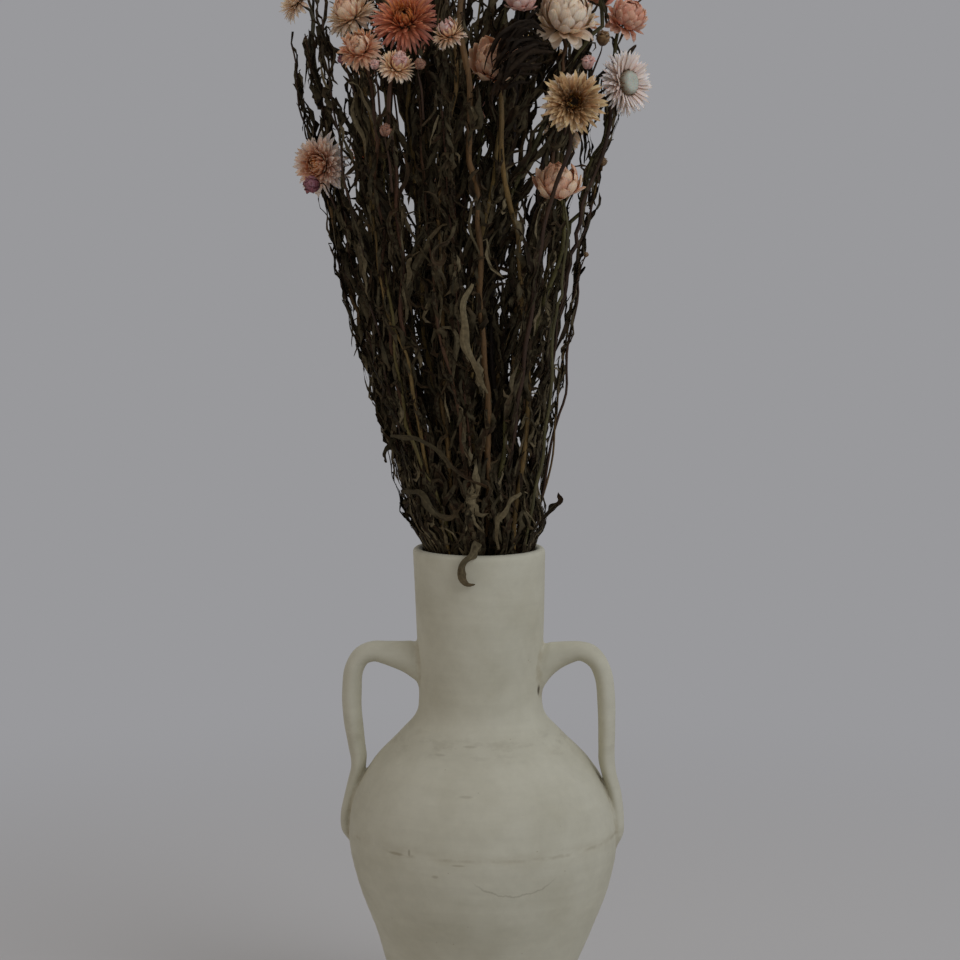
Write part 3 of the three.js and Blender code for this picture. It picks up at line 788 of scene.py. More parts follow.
def wall_drift(angle, height):
    """How far the thrown wall is from its outline: soft waves, an oval, turning marks, the join."""
    spot = Vector((math.cos(angle) * WANDER_ROUND, math.sin(angle) * WANDER_ROUND, height / WANDER_HEIGHT))
    wander = WALL_WANDER * noise.noise(spot) + WALL_OVAL * math.cos(2 * angle + height / OVAL_PITCH)
    turns = height / TURN_PITCH + angle / math.tau
    faint = TURN_MARK_SHARE + noise.noise(spot * TURN_MARK_PATCHES + ELSEWHERE)
    marks = TURN_MARK * math.sin(math.tau * turns) * faint
    line = (height - JOIN_HEIGHT + JOIN_SAG * math.cos(angle + JOIN_SAGS_AT)) / JOIN_HALF_WIDTH
    return (wander + marks - JOIN_DEPTH * math.exp(-line * line)) * smoothstep(height, *WALL_TRUE_UP_TO)


def vase_profile():
    """Radius and height, up the outside, over the round lip and down the inside to the floor."""
    outside = curve_through([(radius, 0, height) for radius, height in VASE_OUTLINE], VASE_ROW)
    inside = [
        Vector((place.x - WALL * way.z, 0, place.z + WALL * way.x))
        for place, way in zip(outside, headings(outside))
    ]
    inside = [place for place in inside if place.z > LOWEST_INSIDE][::-1]
    middle = (outside[-1] + inside[0]).x / 2
    lip = []
    for i in range(1, LIP_ROWS):
        angle = math.pi * i / LIP_ROWS
        height = RIM_HEIGHT - LIP_RADIUS + LIP_RADIUS * math.sin(angle)
        lip.append(Vector((middle + LIP_RADIUS * math.cos(angle), 0, height)))
    foot, floor = [[Vector((r, 0, z)) for r, z in rows] for rows in (FOOT_ROWS, FLOOR_ROWS)]
    return foot + outside + lip + inside[::2] + floor


def vase_body():
    rings = []
    for place in vase_profile():
        lean = read_off(VASE_LEAN, place.z)
        ring = []
        for angle in angles_round(VASE_SIDES):
            radius = place.x + wall_drift(angle, place.z)
            ring.append((lean + radius * math.cos(angle), radius * math.sin(angle), place.z))
        rings.append(ring)
    return new_object("vase_body", skin("vase_body", rings))


def vase_handle(side, points):
    """An oval strap, flared where it is pressed on the neck and flat where it ends on the belly."""
    sized = curve_through([(side * x, thickness, z) for x, z, thickness in points], HANDLE_STEP)
    route = [Vector((place.x, 0, place.z)) for place in sized]
    level = Vector((side, 0, 0))
    rings = []
    for i, (place, way) in enumerate(zip(route, headings(route))):
        share = i / (len(route) - 1)
        thickness, width = sized[i].y, read_off(HANDLE_WIDTHS, share)
        out = SIDEWAYS.cross(level.lerp(way, smoothstep(share, *HANDLE_TURNS_IN)).normalized())
        ring = []
        for angle in angles_round(HANDLE_SIDES):
            c, s = math.cos(angle), math.sin(angle)
            rounded = abs(c) ** HANDLE_SQUARENESS + abs(s) ** HANDLE_SQUARENESS
            fullness = rounded ** (-1 / HANDLE_SQUARENESS)
            point = place + SIDEWAYS * (c * fullness * width / 2) + out * (s * fullness * thickness / 2)
            dent = HANDLE_DENTS * noise.noise(point / HANDLE_DENT_LENGTH + level * HANDLES_APART)
            ring.append(point + (point - place).normalized() * dent)
        rings.append(ring)
    return new_object("handle", skin("handle", rings))


def ease_seams(mesh, parts):
    """Rounds the seams between the pressed-on parts and marks them, so that the slip is darker there."""
    trees = [BVHTree.FromPolygons([v.co for v in part.vertices], [p.vertices for p in part.polygons])
             for part in parts]
    shape = bmesh.new()
    shape.from_mesh(mesh)
    bmesh.ops.remove_doubles(shape, verts=shape.verts, dist=SEAM_MERGE)
    bmesh.ops.recalc_face_normals(shape, faces=shape.faces)
    near = {}
    for vertex in shape.verts:
        gaps = sorted(tree.find_nearest(vertex.co)[3] for tree in trees)
        near[vertex] = 1 - smoothstep(gaps[1], *SEAM_REACH)
    held = [(vertex, weight) for vertex, weight in near.items() if weight > 0]
    for _ in range(SEAM_PASSES):
        moves = []
        for vertex, weight in held:
            others = [edge.other_vert(vertex).co for edge in vertex.link_edges]
            moves.append((sum(others, Vector()) / len(others) - vertex.co) * SEAM_PULL * weight)
        for (vertex, _weight), move in zip(held, moves):
            vertex.co += move
    marks = [near[vertex] for vertex in shape.verts]
    shape.to_mesh(mesh)
    shape.free()
    mark(mesh, "seam", marks)
    mesh.shade_smooth()


def vase():
    body = vase_body()
    handles = [vase_handle(1, RIGHT_HANDLE), vase_handle(-1, LEFT_HANDLE)]
    parts = [body.data.copy(), *[handle.data for handle in handles]]
    for handle in handles:
        join = body.modifiers.new("press on", "BOOLEAN")
        join.operation = "UNION"
        join.solver = "EXACT"
        join.object = handle
    graph = bpy.context.evaluated_depsgraph_get()
    mesh = bpy.data.meshes.new_from_object(body.evaluated_get(graph))
    body.modifiers.clear()
    body.data = mesh
    for handle in handles:
        bpy.data.objects.remove(handle)
    ease_seams(mesh, parts)
    mesh.materials.clear()
    mesh.materials.append(slipped_earthenware())
    finish_piece(body, "clay", "vase", matrix=TO_ROW)


# Thin blades: the leaves and the bracts of the flower heads

def blade(name, route, side, half_width, widths, section, roll, turn, thickness, crinkle=0):
    """A thin closed blade along a route. side is the way of its width at the start, section its
    corners as (place across from -1 to 1, lift in thicknesses), roll half the angle that the
    section curls through, turn how far it twists, and crinkle how far its margins wave. Each
    point's place along the blade, across it and on its under side is kept for the material."""
    rings, marks = [], []
    last = len(route) - 1
    for i, (place, way) in enumerate(zip(route, headings(route))):
        share = i / last
        side = (side - way * side.dot(way)).normalized()
        twisted = Matrix.Rotation(turn * share, 3, way) @ side
        up = way.cross(twisted)
        half = half_width * read_off(widths, share)
        ring = []
        for across, lift in section:
            angle = across * roll
            out = up * math.cos(angle) - twisted * math.sin(angle)
            wave = crinkle * across * across * math.sin(math.tau * CRINKLE_WAVES * share + 2 * across)
            ring.append(
                place + (twisted * math.sin(angle) + up * (1 - math.cos(angle))) * (half / roll)
                + out * (lift * thickness + wave)
            )
            marks.append((share, across, -lift))
        rings.append(ring)
    mesh = skin(name, rings)
    blade_marks = mesh.attributes.new("blade", "FLOAT_VECTOR", "POINT")
    blade_marks.data.foreach_set("vector", [value for point in marks for value in point])
    shape = bmesh.new()
    shape.from_mesh(mesh)
    bmesh.ops.recalc_face_normals(shape, faces=shape.faces)
    for edge in shape.edges:
        edge.smooth = not all(abs(marks[vertex.index][1]) == 1 for vertex in edge.verts)
    shape.to_mesh(mesh)
    shape.free()
    return mesh


def leaf_midrib(draw, length, steps, kink):
    """A dried leaf's midrib: it leaves the stalk (which runs along Z) sideways, soon hangs or
    stands along it, waves and kinks as it shrivelled, and hooks at its tip."""
    hangs = draw.random() < LEAVES_THAT_HANG
    start = math.radians(draw.uniform(*LEAF_STARTS))
    end = math.radians(draw.uniform(*(LEAF_HANGS if hangs else LEAF_STANDS)))
    bent = draw.uniform(*LEAF_BENDS)
    hook = draw.choice((-1, 1)) * math.radians(draw.uniform(*LEAF_HOOKS))
    sway, waves, phase = draw.uniform(*LEAF_SWAYS), draw.uniform(*LEAF_WAVES), draw.uniform(0, 6)
    place, route = Vector(), [Vector()]
    for i in range(steps):
        share = (i + 0.5) / steps
        lean = mix(start, end, smoothstep(share, 0, bent)) + hook * smoothstep(share, HOOK_FROM, 1)
        lean += 0.3 * sway * math.sin(math.tau * waves * share + phase) + draw.uniform(-1, 1) * kink
        swing = sway * math.sin(math.tau * waves * share * 0.8 + 2 * phase) + draw.uniform(-1, 1) * kink
        way = Vector((math.sin(lean) * math.cos(swing), math.sin(swing), math.cos(lean) * math.cos(swing)))
        place = place + way * (length / steps)
        route.append(place)
    return route


def to_pick_from(name, meshes):
    """Shapes as a collection that a tree picks its instances from."""
    shapes = bpy.data.collections.new(name)
    bpy.context.scene.collection.children.link(shapes)
    for mesh in meshes:
        shapes.objects.link(bpy.data.objects.new(mesh.name, mesh))
    return shapes


def leaf_shapes(sort):
    """One sort of the dried leaves that the stalks carry."""
    kinds, steps, lengths, half_widths, rolls, turns, kink = LEAF_SORTS[sort]
    draw = random.Random(LEAF_SEED)
    meshes = []
    for number in range(kinds):
        route = leaf_midrib(draw, mix(*lengths, number / (kinds - 1)), steps, kink)
        meshes.append(blade(
            f"{sort}_{number:02d}", route, SIDEWAYS, draw.uniform(*half_widths), LEAF_WIDTHS,
            THIN_SECTION, draw.uniform(*rolls),
            draw.choice((-1, 1)) * math.radians(draw.uniform(*turns)), LEAF_THICKNESS,
            draw.uniform(*LEAF_CRINKLES),
        ))
    return to_pick_from(f"{sort} leaves", meshes)


def bract_shapes(family):
    """One family of straw-like bracts, of length 1, from curled over the centre to bent back."""
    half_width, widths, curled, bent_back, roll, steps = BRACT_FAMILIES[family]
    draw = random.Random(family)
    meshes = []
    for number in range(BRACT_KINDS):
        curl = math.radians(mix(curled, bent_back, number / (BRACT_KINDS - 1)))
        sway = draw.uniform(-BRACT_SWAY, BRACT_SWAY)
        place, route = Vector(), [Vector()]
        for i in range(steps):
            share = (i + 0.5) / steps
            rise = curl * share ** BRACT_CURL_POWER
            place = place + Vector((math.cos(rise), sway * share, math.sin(rise))).normalized() / steps
            route.append(place)
        meshes.append(blade(
            f"{family}_{number:02d}", route, SIDEWAYS, half_width * draw.uniform(*BRACT_WIDTHS), widths,
            THIN_SECTION, roll * draw.uniform(*BRACT_ROLLS), draw.uniform(-BRACT_TWIST, BRACT_TWIST),
            BRACT_THICKNESS,
        ))
    return to_pick_from(f"{family} bracts", meshes)


# Geometry Nodes trees

def new_tree(name, inputs):
    """A tree that takes and gives geometry, the sockets of its inputs, and what adds its nodes.
    An input is a number, or a socket's kind."""
    tree = bpy.data.node_groups.new(name, "GeometryNodeTree")
    kinds = {float: "NodeSocketFloat", int: "NodeSocketInt"}
    for way in ("INPUT", "OUTPUT"):
        tree.interface.new_socket("Geometry", in_out=way, socket_type="NodeSocketGeometry")
    for label, value in inputs.items():
        kind = kinds.get(type(value), value)
        socket = tree.interface.new_socket(label, in_out="INPUT", socket_type=kind)
        if type(value) in kinds:
            socket.default_value = value
    put = partial(add, tree)
    return tree, put("NodeGroupInput").outputs, put


def end_tree(put, shape, material, chosen=True):
    """Ends a tree: what it instanced becomes real, and the chosen faces get their material."""
    real = put("GeometryNodeRealizeInstances", shape)
    finished = put("GeometryNodeSetMaterial", {"Geometry": real, "Selection": chosen, "Material": material})
    put("NodeGroupOutput", finished)


def stalk_tree():
    """Sweeps a ribbed section, slowly twisting, along each line that it is given. A line's points
    carry their radius in the attribute thick."""
    tree, given, put = new_tree("stalks", {
        "Ribs": 5, "Rib depth": 0.2, "Twist pitch": 160.0, "Material": "NodeSocketMaterial",
    })
    line = put("GeometryNodeMeshToCurve", given["Geometry"])
    reach = put("GeometryNodeSplineParameter").outputs["Length"]
    turns = put("Math", reach, given["Twist pitch"], operation="DIVIDE")
    tilt = put("Math", turns, math.tau, operation="MULTIPLY")
    twisted = put("GeometryNodeSetCurveTilt", {"Curve": line, "Tilt": tilt})
    kept = put("GeometryNodeStoreNamedAttribute", {
        "Geometry": twisted, "Name": "reach", "Value": reach,
    }, domain="POINT")
    inner = put("Math", 1, given["Rib depth"], operation="SUBTRACT")
    section = put("GeometryNodeCurveStar", {
        "Points": given["Ribs"], "Inner Radius": inner, "Outer Radius": 1,
    })
    thick = put("GeometryNodeInputNamedAttribute", "thick", data_type="FLOAT")
    swept = put("GeometryNodeCurveToMesh", {
        "Curve": kept, "Profile Curve": section, "Scale": thick, "Fill Caps": True,
    })
    end_tree(put, put("GeometryNodeSetShadeSmooth", swept), given["Material"])
    return tree


def leaf_tree():
    """Sets leaves along each line that it is given, spiralling round it and mostly facing away
    from the middle of the bouquet, between two heights."""
    tree, given, put = new_tree("leaves on a stalk", {
        "Spacing": LEAF_SPACING, "Lowest": 352.0, "Highest": 800.0, "Leafy from": 580.0, "At neck": 0.5,
        "Smallest": 0.6, "Largest": 1.2, "Seed": 1, "Kinds": 12,
        "Shapes": "NodeSocketCollection", "Material": "NodeSocketMaterial",
    })
    line = put("GeometryNodeMeshToCurve", given["Geometry"])
    spaced = put("GeometryNodeCurveToPoints", {"Curve": line, "Length": given["Spacing"]}, mode="LENGTH")
    dots = spaced.outputs
    place = put("SeparateXYZ", put("GeometryNodeInputPosition")).outputs
    above = put("Math", place["Z"], given["Lowest"], operation="GREATER_THAN")
    below = put("Math", place["Z"], given["Highest"], operation="LESS_THAN")
    between = put("Math", above, below, operation="MULTIPLY")
    kept = put("MapRange", place["Z"], given["Lowest"], given["Leafy from"], given["At neck"], 1)
    lot = put("Math", given["Seed"], 90, operation="ADD")
    dice = put("FunctionNodeRandomValue", {"Min": 0, "Max": 1, "Seed": lot})
    lucky = put("Math", dice, kept, operation="LESS_THAN")
    chosen = put("Math", between, lucky, operation="MULTIPLY")

    shift = put("FunctionNodeRandomValue", {"Min": -0.5, "Max": 0.5, "Seed": given["Seed"]})
    along = put("Math", shift, given["Spacing"], operation="MULTIPLY")
    step = put("VectorMath", {0: dots["Tangent"], "Scale": along}, operation="SCALE")
    spread = put("GeometryNodeSetPosition", {"Geometry": dots["Points"], "Offset": step})

    turned = put("FunctionNodeAlignRotationToVector", {"Vector": dots["Tangent"]}, axis="Z")
    outward = put("Math", place["Y"], place["X"], operation="ARCTAN2")
    astray = put("FunctionNodeRandomValue", {
        "Min": -LEAF_TURNED, "Max": LEAF_TURNED, "Seed": given["Seed"],
    })
    around = put("Math", outward, astray, operation="ADD")
    reseed = put("Math", given["Seed"], 50, operation="ADD")
    lift, sink = LEAF_DROOPS
    droop = put("FunctionNodeRandomValue", {"Min": lift, "Max": sink, "Seed": reseed})
    for axis, angle in (((0, 0, 1), around), ((0, 1, 0), droop)):
        turn = put("FunctionNodeAxisAngleToRotation", axis, angle)
        turned = put("FunctionNodeRotateRotation", turned, turn, rotation_space="LOCAL")
    size = put("FunctionNodeRandomValue", {
        "Min": given["Smallest"], "Max": given["Largest"], "Seed": reseed,
    })
    highest = put("Math", given["Kinds"], 1, operation="SUBTRACT")
    pick = put("FunctionNodeRandomValue", {
        "Min": 0, "Max": highest, "Seed": given["Seed"],
    }, data_type="INT")
    shapes = put("GeometryNodeCollectionInfo", {
        "Collection": given["Shapes"], "Separate Children": True, "Reset Children": True,
    })
    leaves = put("GeometryNodeInstanceOnPoints", {
        "Points": spread, "Selection": chosen, "Instance": shapes, "Pick Instance": True,
        "Instance Index": pick, "Rotation": turned, "Scale": size,
    })
    tone = put("FunctionNodeRandomValue", {"Min": 0, "Max": 1, "Seed": reseed})
    toned = put("GeometryNodeStoreNamedAttribute", {
        "Geometry": leaves, "Name": "tone", "Value": tone,
    }, domain="INSTANCE")
    end_tree(put, toned, given["Material"])
    return tree


def whorl_tree():
    """Adds a flower head's bracts or florets to what it is given. They stand round the Z axis at
    the golden angle, the innermost first, and go over from the inner to the outer measures."""
    tree, given, put = new_tree("whorl of bracts", {
        "Count": 100, "Kinds": 12, "Seed": 1,
        "Seat inner": 5.0, "Seat outer": 6.0, "Height inner": 6.0, "Height outer": 2.0,
        "Tilt inner": 1.2, "Tilt outer": -0.3,
        "Length inner": 9.0, "Length outer": 9.0, "Length bulge": 5.0,
        "Jitter": 0.1, "Shapes": "NodeSocketCollection", "Material": "NodeSocketMaterial",
    })
    index = put("GeometryNodeInputIndex")
    share = put("Math", index, given["Count"], operation="DIVIDE")
    seat, height, tilt, length = [
        put("Mix", share, given[f"{measure} inner"], given[f"{measure} outer"])
        for measure in ("Seat", "Height", "Tilt", "Length")
    ]
    strays = []
    for number, size in enumerate(BRACT_STRAYS, 1):
        seed = put("Math", given["Seed"], number, operation="ADD")
        drawn = put("FunctionNodeRandomValue", {"Min": -size, "Max": size, "Seed": seed})
        strays.append(put("Math", drawn, given["Jitter"], operation="MULTIPLY"))
    turn_stray, tilt_stray, roll_stray, length_stray, curl_stray = strays

    golden = put("Math", index, GOLDEN_ANGLE, operation="MULTIPLY")
    angle = put("Math", golden, turn_stray, operation="ADD")
    x, y = [
        put("Math", seat, put("Math", angle, operation=way), operation="MULTIPLY")
        for way in ("COSINE", "SINE")
    ]
    place = put("CombineXYZ", x, y, height)
    dots = put("GeometryNodePoints", {"Count": given["Count"], "Position": place})
    up = put("Math", tilt, tilt_stray, operation="ADD")
    down = put("Math", up, -1, operation="MULTIPLY")
    turned = put("FunctionNodeEulerToRotation", put("CombineXYZ", roll_stray, down, angle))

    rest = put("Math", 1, share, operation="SUBTRACT")
    hump = put("Math", share, rest, operation="MULTIPLY")
    bulge = put("Math", hump, 4, operation="MULTIPLY")
    bulged = put("Math", bulge, given["Length bulge"], length, operation="MULTIPLY_ADD")
    uneven = put("Math", length_stray, 1, operation="ADD")
    size = put("Math", bulged, uneven, operation="MULTIPLY")

    highest = put("Math", given["Kinds"], 1, operation="SUBTRACT")
    curl = put("Math", share, highest, curl_stray, operation="MULTIPLY_ADD")
    lowest = put("Math", curl, 0, operation="MAXIMUM")
    pick = put("Math", lowest, highest, operation="MINIMUM")
    shapes = put("GeometryNodeCollectionInfo", {
        "Collection": given["Shapes"], "Separate Children": True, "Reset Children": True,
    })
    bracts = put("GeometryNodeInstanceOnPoints", {
        "Points": dots, "Instance": shapes, "Pick Instance": True, "Instance Index": pick,
        "Rotation": turned, "Scale": size,
    })
    tone = put("FunctionNodeRandomValue", {"Min": 0, "Max": 1, "Seed": given["Seed"]})
    for name, value in (("ring", share), ("tone", tone), ("fresh", 1)):
        bracts = put("GeometryNodeStoreNamedAttribute", {
            "Geometry": bracts, "Name": name, "Value": value,
        }, domain="INSTANCE")
    earlier = put("GeometryNodeStoreNamedAttribute", {
        "Geometry": given["Geometry"], "Name": "fresh", "Value": 0,
    })
    joined = put("GeometryNodeJoinGeometry", bracts)
    fill(joined, {"Geometry": earlier})
    fresh = put("GeometryNodeInputNamedAttribute", "fresh", data_type="FLOAT")
    end_tree(put, joined, given["Material"], fresh)
    return tree


def grow(name, carrier_mesh, steps):
    """Runs trees on a mesh, one after another, and keeps what they make as one plain mesh."""
    carrier = new_object(name, carrier_mesh)
    for tree, values in steps:
        modifier = carrier.modifiers.new(tree.name, "NODES")
        modifier.node_group = tree
        keys = {item.name: item.identifier for item in tree.interface.items_tree}
        for label, value in values.items():
            modifier[keys[label]] = value
    graph = bpy.context.evaluated_depsgraph_get()
    made = bpy.data.meshes.new_from_object(carrier.evaluated_get(graph))
    carrier.modifiers.clear()
    carrier.data = made
    bpy.data.meshes.remove(carrier_mesh)
    return carrier


# Bouquet

def bundle_at(height):
    """Middle and radius of the bundle of stems at a height, and the height's share of the way up."""
    above = min(1, max(0, (height - SPREAD_FROM) / (BOUQUET_TOP - SPREAD_FROM)))
    closed = mix(BELLY_BUNDLE, NECK_BUNDLE, smoothstep(height, BELLY_BUNDLE_TOP, NECK_BUNDLE_FROM))
    return LEAN * math.sin(math.pi * above ** LEAN_POWER), closed + SPREAD * above ** SPREAD_POWER, above


def stem_point(height, index, neck, top):
    """A stem's place at a height, going over from its place in the neck to that under the head."""
    middle, radius, above = bundle_at(height)
    end_middle, end_radius, end_above = bundle_at(top.z)
    over = min(1, above / end_above)
    wave = mix(WAVE_IN_VASE, WAVE_ON_TOP, above)
    phase = index * PHASE_STEP
    turns = math.tau * height / WAVE_LENGTH
    u = mix(neck[0], (top.x - end_middle) / end_radius, over)
    v = mix(neck[1], top.y / end_radius, over)
    return Vector((
        middle + radius * u + wave * math.sin(turns + phase),
        radius * v + wave * math.cos(turns * WAVE_SLOWER + 2 * phase),
        height,
    ))


def stem_route(index, neck, base, facing):
    """Up from the vase's floor, straight for a while under the head, and round to its back."""
    bend = base - facing * STEM_BEND
    below = Vector((bend.x, bend.y, bend.z - STEM_DROP))
    foot = LOWEST_STEM_END + STEM_END_STEP * (index % STEM_END_HEIGHTS)
    heights = [foot] + [h for h in STEM_HEIGHTS if h < below.z - STEM_CLEAR_OF_DROP]
    points = [stem_point(height, index, neck, below) for height in heights]
    return curve_through([*points, below, bend, base - facing * STEM_GAP], STALK_STEP)


def neck_places(ring, count):
    share, first, last = ring
    angles = [math.radians(mix(first, last, i / (count - 1))) for i in range(count)]
    return [(share * math.cos(angle), share * math.sin(angle)) for angle in angles]


def crooked(route, index):
    """A stalk's small kinks, which fade out at both of its ends, and its way round the gaps."""
    bent = []
    for i, place in enumerate(route):
        share = i / (len(route) - 1)
        low, high = KINKS_FADE_IN
        hold = smoothstep(share, 0, low) * smoothstep(1 - share, 0, high)
        spot = Vector((index * KINKS_APART, place.z / KINK_LENGTH, 0))
        kink = Vector((noise.noise(spot), noise.noise(spot + Vector((0, 0, 9))), 0))
        bent.append(make_way(place + kink * KINK * hold)[0])
    return bent


def stalk_line(name, route, low, high, tone):
    """A stalk as a mesh of one line, whose points carry their radius and the stalk's tone."""
    radii = []
    for i, place in enumerate(route):
        wave = math.sin(place.z * math.tau / KNOT_PITCH + tone * 30)
        knot = 1 + KNOT_SWELL * max(0, wave) ** 6
        thin = mix(STALK_TIP_SHARE, 1, smoothstep((route[-1] - place).length, 0, STALK_TIP))
        radii.append(mix(low, high, i / (len(route) - 1)) * knot * thin)
    mesh = bpy.data.meshes.new(name)
    mesh.from_pydata(route, [(i, i + 1) for i in range(len(route) - 1)], [])
    mark(mesh, "thick", radii)
    mark(mesh, "tone", [tone] * len(route))
    return mesh


def press_in(mesh, spare):
    """Presses leaves that reach too far from the bouquet's middle back into its outline, which
    is narrow in the neck, after those that leave the mouth are spread to fill it."""
    for vertex in mesh.vertices:
        x, y, z = vertex.co
        middle = bundle_at(z)[0]
        outline = read_off(OUTLINE_OF_LEAVES, min(BOUQUET_TOP, max(0, z)))
        bump = noise.noise(vertex.co / OUTLINE_BUMP_LENGTH) * OUTLINE_BUMP
        limit = outline + (spare + bump) * smoothstep(z, *OUTLINE_EVEN_UP_TO)
        free = LEAVES_FREE_SHARE * limit
        reach = max(0.1, math.hypot(x - middle, y))
        filled = MOUTH_FILLED * smoothstep(z, *MOUTH_FILLED_FROM) * (1 - smoothstep(z, *MOUTH_FILLED_TO))
        away = reach * (1 + filled)
        if away > free:
            away = free + (limit - free) * math.tanh((away - free) / (limit - free))
        vertex.co.x = middle + (x - middle) * away / reach
        vertex.co.y = y * away / reach


def make_way(place):
    """Where a place goes when it makes way for the gaps: sideways as seen from the best side.
    Gives also the side it went to, or 0."""
    eye = Vector(CAMERA_PLACE)
    side = 0
    for x, z, half_width, half_height in GAPS:
        ray = Vector((x, GAP_PLANE, z)) - eye
        share = (place.y - eye.y) / ray.y
        across, up = ((place - eye) / share - ray).xz
        if abs(up) < half_height:
            clear = half_width * math.sqrt(1 - (up / half_height) ** 2)
            if abs(across) < clear:
                side = math.copysign(1, across)
                place = place + Vector(((side * clear - across) * share, 0, 0))
    return place, side


def hides_a_head(leaf, heads):
    tries = [vertex.co - Vector(CAMERA_PLACE) for vertex in leaf[::len(THIN_SECTION)]]
    for ray, radius in heads:
        for way in tries:
            share = way.dot(ray) / ray.length_squared
            if share < 1 and (way - ray * share).length < radius * share:
                return True
    return False


def thin_out(mesh, points_of_a_leaf, heads):
    """Takes off the leaves that would hide a head from the best side of the bouquet or cross one
    of its gaps, and moves those at a gap aside."""
    shape = bmesh.new()
    shape.from_mesh(mesh)
    shape.verts.ensure_lookup_table()
    gone = []
    for first in range(0, len(shape.verts), points_of_a_leaf):
        leaf = shape.verts[first:first + points_of_a_leaf]
        moved = [make_way(vertex.co) for vertex in leaf]
        if {-1, 1} <= {side for _place, side in moved}:
            gone.extend(leaf)
            continue
        for vertex, (place, _side) in zip(leaf, moved):
            vertex.co = place
        if hides_a_head(leaf, heads):
            gone.extend(leaf)
    bmesh.ops.delete(shape, geom=gone, context="VERTS")
    shape.to_mesh(mesh)
    shape.free()


def core_of_head(name, outline, radius):
    """The seat that the bracts grow from: closed, round and hidden among them."""
    rows = CORES[outline]
    rings = [[
        (radius * r * math.cos(angle), radius * r * math.sin(angle), radius * z)
        for angle in angles_round(CORE_SIDES)
    ] for r, z in rows]
    mesh = skin(name, rings)
    mark(mesh, "ring", [row / (len(rows) - 1) for row in range(len(rows)) for _ in range(CORE_SIDES)])
    return mesh


def flower_head(name, centre, way, diameter, kind, finish, trees, *nodes):
    """A head, or a bud, as a piece."""
    facing, base = stand_of_head(centre, way, diameter, kind)
    radius = diameter / 2
    core, whorls = HEAD_KINDS[kind]
    mesh = core_of_head(name, core, radius)
    mesh.materials.append(trees["materials"]["disc" if core == "disc" else "seat"])
    steps = []
    for number, (family, count, seats, heights, tilts, lengths, jitter, own) in enumerate(whorls):
        steps.append((trees["whorl"], {
            "Count": count, "Kinds": BRACT_KINDS, "Seed": sum(map(ord, name)) + number,
            "Seat inner": seats[0] * radius, "Seat outer": seats[1] * radius,
            "Height inner": heights[0] * radius, "Height outer": heights[1] * radius,
            "Tilt inner": math.radians(tilts[0]), "Tilt outer": math.radians(tilts[1]),
            "Length inner": lengths[0] * radius, "Length outer": lengths[2] * radius,
            "Length bulge": (lengths[1] - (lengths[0] + lengths[2]) / 2) * radius,
            "Jitter": jitter, "Shapes": trees["bracts"][family],
            "Material": trees["materials"][own or finish],
        }))
    piece = grow(name, mesh, steps)
    upright = facing.to_track_quat("Z", "Y").to_matrix().to_4x4()
    piece.data.transform(Matrix.Translation(base) @ upright)
    finish_piece(piece, f"bracts_{SLOTS_OF_OTHERS.get(finish, finish)}", *nodes)


def stand_of_head(centre, way, diameter, kind):
    """The way a head faces, and the place under it where its stalk ends."""
    facing = Vector(way).normalized()
    return facing, Vector(centre) - facing * HIGHER_HEADS.get(kind, HEAD_HEIGHT) * diameter / 4


def bare_stalk(name, line, trees, *nodes):
    """A stalk as a piece."""
    stalk = grow(name, line, [(trees["stalk"], {"Material": trees["materials"]["stalk"]})])
    finish_piece(stalk, "dry_stem", *nodes)


def plant_stalk(name, route, radii, tone, seed, spacings, highest, trees, *nodes):
    """One stalk and its leaves, as a piece for the stalk and one for each sort of leaf."""
    bare_stalk(f"stalk_{name}", stalk_line(name, route, *radii, tone), trees, *nodes)
    for sort, spacing in spacings.items():
        spare, kept = SORT_AT_OUTLINE[sort]
        kinds, steps, *_rest = LEAF_SORTS[sort]
        leaves = grow(f"{sort}_leaves_{name}", stalk_line(name, route, 1, 1, tone), [
            (trees["leaf"], {
                "Highest": float(highest), "Seed": seed, "Kinds": kinds, "Spacing": float(spacing),
                "Leafy from": LEAFY_FROM, "At neck": kept, "Shapes": trees[sort],
                "Material": trees["materials"]["leaf"],
            }),
        ])
        press_in(leaves.data, spare)
        thin_out(leaves.data, (steps + 1) * len(THIN_SECTION), trees["heads"])
        finish_piece(leaves, "dry_leaf")


def plant_heads(heads, places, first, in_frame, draw, trees):
    """Stalks, leaves and heads of a table, in the same order as in the frame."""
    for index, (head, neck) in enumerate(zip(heads, places), first):
        name, *measures, kind, finish = head
        facing, base = stand_of_head(*measures, kind)
        route = crooked(stem_route(index, neck, base, facing), index)
        highest = base.z - LEAFLESS_UNDER.get(name, LEAFLESS_UNDER_HEAD)
        spacings = {"long": LEAF_SPACING}
        stem, flower = ([f"stem_{name}"], [f"flower_{name}"]) if in_frame else ([], [])
        plant_stalk(name, route, STEM_RADII, draw.random(), index, spacings, highest, trees, *stem)
        flower_head(f"head_{name}", *measures, kind, finish, trees, *flower)


def plant_free_stalks(trees):
    """Stalks with their own routes: they go on down through the neck into the vase."""
    for seed, stalk in enumerate(FRONT_STALKS + SPRIGS, FREE_STALK_SEED):
        name, low, high, tone, spacing, near, points = stalk
        x, y, _z = points[-1]
        foot = [(x * share, y * share, height) for share, height in FREE_STALK_FEET]
        route = crooked(curve_through([*foot, *points[::-1]], STALK_STEP), seed)
        spacings = {"long": spacing, "clinging": near}
        plant_stalk(name, route, (low, high), tone, seed, spacings, points[0][2], trees)


